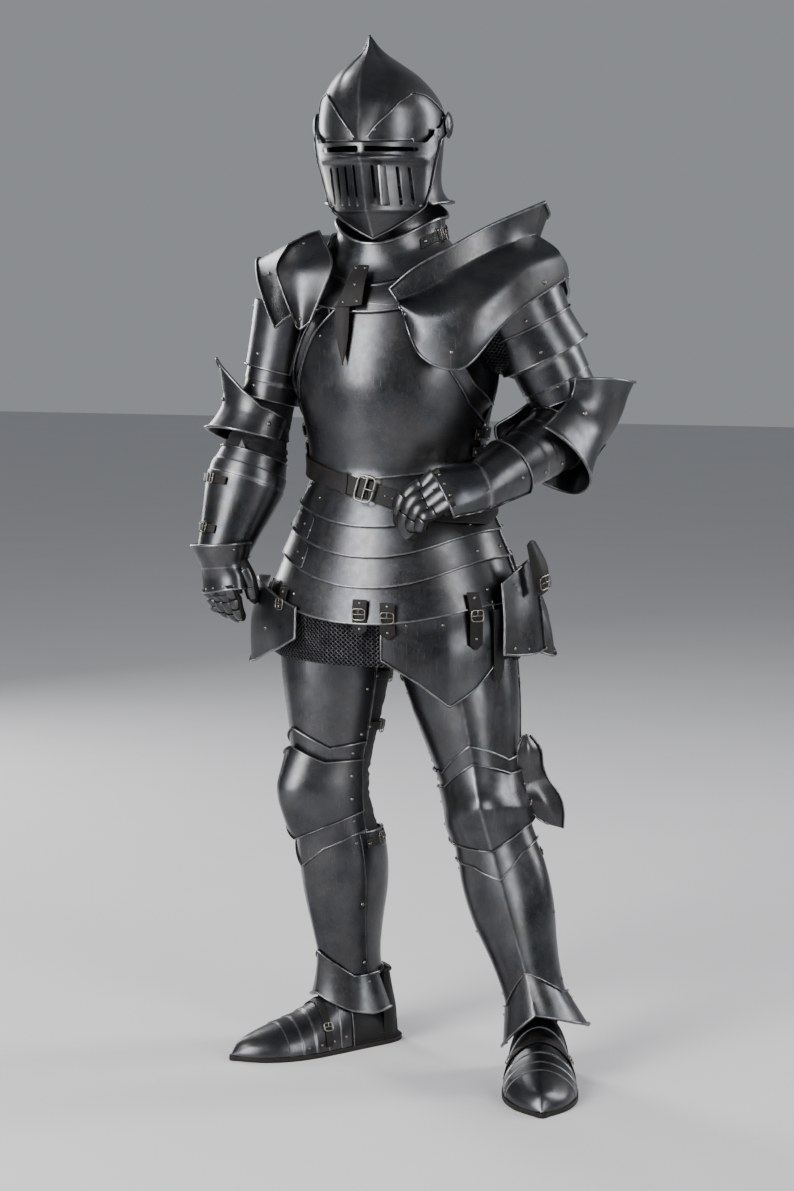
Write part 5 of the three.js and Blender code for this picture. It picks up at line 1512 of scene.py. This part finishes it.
def make_feet():
    for side in ("left", "right"):
        heel, toe = FEET[side]
        along = toe - heel
        length = along.length
        way = along.normalized()
        cross = v3(way.y, -way.x, 0)
        sections = [[s * length, half, half, h, h, 3 if 0.4 < s < 0.96 else 0] for s, half, h in FOOT_SECTIONS]
        foot = Limb([v3(heel.x, heel.y, SOLE + 0.6), v3(toe.x, toe.y, SOLE + 0.6)], v3(0, 0, 1), sections)
        upper = on(foot, -90, 90, 0.34 * length, length)
        plate(f"sabaton_{side}_steel", upper, 48, 56, [f"sabaton_{side}"], lines=(0.12, 0.24, 0.36, 0.48, 0.6),
              rise=1.7, roll={"low": 1.2})
        for v in (0.07, 0.19, 0.31, 0.43, 0.55):
            rivets(upper, [(0.06, v), (0.94, v)], 2.6, lift=0.9)
        sides = [[s, h + 3] for s, h, _ in FOOT_SECTIONS[1:-1]]
        outline = [[-0.026, 0.6], [-0.02, 15], [-0.005, 26], [0.03, 36], *sides, [0.985, 12], [1.01, 6], [1.016, 0.6]]

        def sole_top(u, v, outline=outline):
            share = outline[0][0] + (outline[-1][0] - outline[0][0]) * v
            half = read(outline, share)[0]
            return heel + along * share + cross * (half * (2 * u - 1)) + v3(0, 0, SOLE)

        parts = [plate("sole", sole_top, 14, 56, wall=SOLE - 0.2, turn=facing_up(sole_top), edge=1.4, bare=True)]
        lower = [[s * length, half - 2, half - 2, min(h, 66), min(h, 66)] for s, half, h in FOOT_SECTIONS]
        lasted = on(foot, -90, 90, 0.02 * length, 0.44 * length, -4, lower)
        parts.append(plate("last", lasted, 30, 14, wall=2.4, edge=0.5, bare=True, roll={"start": 1.0, "end": 1.0}))
        ankle = heel + along * (36 / length)
        heel_limb = Limb([ankle, ankle + v3(0, 0, 200)], way, HEEL_SECTIONS)
        counter = on(heel_limb, 80, 280, SOLE, 142, 0.4)
        parts.append(plate("counter", counter, 30, 22, wall=2.6, edge=0.8, bare=True, roll={"high": 1.2}))
        dress(join(f"shoe_{side}_leather", parts), "glove", nodes=[f"shoe_{side}"])
        strap = on(foot, -84, 84, 0.475 * length, 0.515 * length, 3.6)
        plate(f"foot_strap_{side}", strap, 30, 4, wall=1.8, finish="leather", edge=0.5)
        for u in (0.16, 0.84):
            buckle_on(strap, u, 0.5, 17, 15, lift=1.8)


def facing_up(surface):
    return 1 if normal_on(surface, 0.5, 0.5)[0].z > 0 else -1


HIP_SECTIONS = [
    [660, 240, 240, 180, 172], [740, 242, 242, 184, 174], [800, 242, 242, 187, 176], [850, 242, 242, 190, 180],
    [900, 226, 226, 182, 170], [950, 208, 208, 172, 158],
]
RIGHT_TASSET_NET = [
    [v3(-134, -168, 848), v3(-134, -170, 820), v3(-134, -172, 793)],
    [v3(-170, -146, 858), v3(-172, -152, 812), v3(-172, -152, 772)],
    [v3(-206, -120, 872), v3(-212, -124, 812), v3(-208, -122, 756)],
    [v3(-244, -78, 890), v3(-264, -70, 812), v3(-264, -70, 730)],
    [v3(-250, -12, 884), v3(-278, -8, 812), v3(-282, -8, 744)],
]


SIDE_TASSET_NET = [
    [v3(233, -92, 898), v3(240, -98, 835), v3(242, -104, 772)],
    [v3(248, -52, 918), v3(258, -60, 840), v3(263, -64, 767)],
    [v3(257, -16, 932), v3(269, -20, 845), v3(275, -22, 765)], [v3(259, 16, 930), v3(272, 18, 845), v3(280, 20, 768)],
]
REAR_TASSET_NET = [
    [v3(258, 10, 905), v3(268, 12, 830), v3(272, 14, 762)], [v3(262, 46, 872), v3(280, 52, 812), v3(288, 60, 751)],
    [v3(244, 86, 876), v3(262, 96, 818), v3(264, 104, 772)],
]


HIP_FLAP_NET = [
    [v3(261, -30, 963), v3(270, -34, 918), v3(279, -34, 871)],
    [v3(266, -22, 971), v3(285, -26, 922), v3(288, -26, 872)],
    [v3(268, 0, 967), v3(292, -2, 923), v3(294, -4, 879)],
]


def make_hips():
    skirt = on(torso, -180, 180, [[0, 748], [180, 752]], 872, [[0, -6], [0.7, -5], [1, -3.8]], HIP_SECTIONS,
               shape=lambda a, h, v: 2.0 * (1 - v) * math.sin(math.radians(a) * 13))
    piece = plate("skirt_mail", skirt, 156, 14, ["mail_skirt"], wall=2.2, finish="mail", closed=True, edge=0)
    declare_cloth(skirt)
    left = on(torso, 9, 63, [[9, 764], [24, 724], [38, 679], [50, 706], [63, 756]], [[9, 836], [30, 846], [63, 866]],
              [[0, 6], [0.5, 4], [0.8, -1.4], [1, -1.4]], HIP_SECTIONS, shape=ridge_along(3.2, 10, 38))
    plate("tasset_left_steel", left, 40, 30, ["tasset_left"], roll={"low": 1.6, "start": 1.3, "end": 1.3})
    rivets(left, [(0.2, 0.86), (0.8, 0.86), (0.5, 0.86)], 3.2)
    for name, stations, nodes in (("side", SIDE_TASSET_NET, ["tasset_left_side"]), ("rear", REAR_TASSET_NET, [])):
        hung = net(stations)
        turn = 1 if normal_on(hung, 0.5, 0.5)[0].x > 0 else -1
        plate(f"tasset_left_{name}_steel", hung, 30, 26, nodes, turn=turn,
              roll={"low": 1.1, "high": 1.2, "start": 1.1, "end": 1.1})
        rivets(hung, [(0.5, 0.94), (0.2, 0.92)], 3.0, turn)
    flap = net(HIP_FLAP_NET)
    turn = 1 if normal_on(flap, 0.5, 0.5)[0].x > 0 else -1
    plate("hip_flap", flap, 10, 14, wall=2.4, finish="leather", edge=0.6, turn=turn)
    buckle_on(flap, 0.62, 0.78, 30, 24, way="v", turn=turn, lift=3)
    right = net(RIGHT_TASSET_NET)
    turn = facing(right)
    plate("tasset_right_steel", right, 44, 26, ["tasset_right"], turn=turn,
          roll={"high": 1.6, "start": 1.3, "end": 1.3, "low": 1.1})
    rivets(right, [(0.3, 0.15), (0.7, 0.12), (0.5, 0.6)], 3.2, turn)
    # Straps and buckles that hang the plates from the lowest hoop
    for name, angle, low, high, out in (
        ("centre", 0, 806, 872, 8), ("left_inner", 12, 800, 868, 9.5), ("left_outer", 51, 780, 885, 12),
        ("left_rear", 124, 850, 930, 14), ("right_front", -44, 806, 880, 9), ("right_side", -62, 822, 892, 11),
    ):
        wide = 3.2 if abs(angle) < 60 else 2.6
        pointed = [[angle - wide, low + 10], [angle, low], [angle + wide, low + 10]] if angle >= 0 else low
        strap = on(torso, angle - wide, angle + wide, pointed, high, out, HIP_SECTIONS)
        plate(f"hip_strap_{name}", strap, 6, 16, wall=2.2, finish="leather", edge=0.6)
        buckle_on(strap, 0.5, 0.6, 24, 20, way="v", lift=2.4)
        rivets(strap, [(0.5, 0.9), (0.5, 0.2)], 2.8)
    tongue = on(torso, 60.2, 66.2, [[60.2, 742], [63.2, 716], [66.2, 742]], 852, 15, HIP_SECTIONS)
    plate("hip_tongue", tongue, 8, 24, wall=2.2, finish="leather", edge=0.6)


def make_side_straps():
    """The straps that close the breast to the back on both sides."""
    for side, start, end in (("left", 74, 112), ("right", -112, -74)):
        for low in (1120, 1152):
            band = on(torso, start, end, low, low + 18, 8.6)
            plate(f"side_strap_{side}_{low}", band, 18, 4, wall=2.2, finish="leather", edge=0.6)
            buckle_on(band, 0.36 if side == "left" else 0.64, 0.5, 25, 21, lift=2.4)
            rivets(band, [(0.06, 0.5), (0.94, 0.5)], 3)


make_camera()
make_studio()
make_torso()
make_fauld()
make_belt()
make_gorget()
make_shoulders()
make_arms()
make_hands()
make_helmet()
make_legs()
make_feet()
make_hips()
make_side_straps()
make_rivets()
make_buckles()
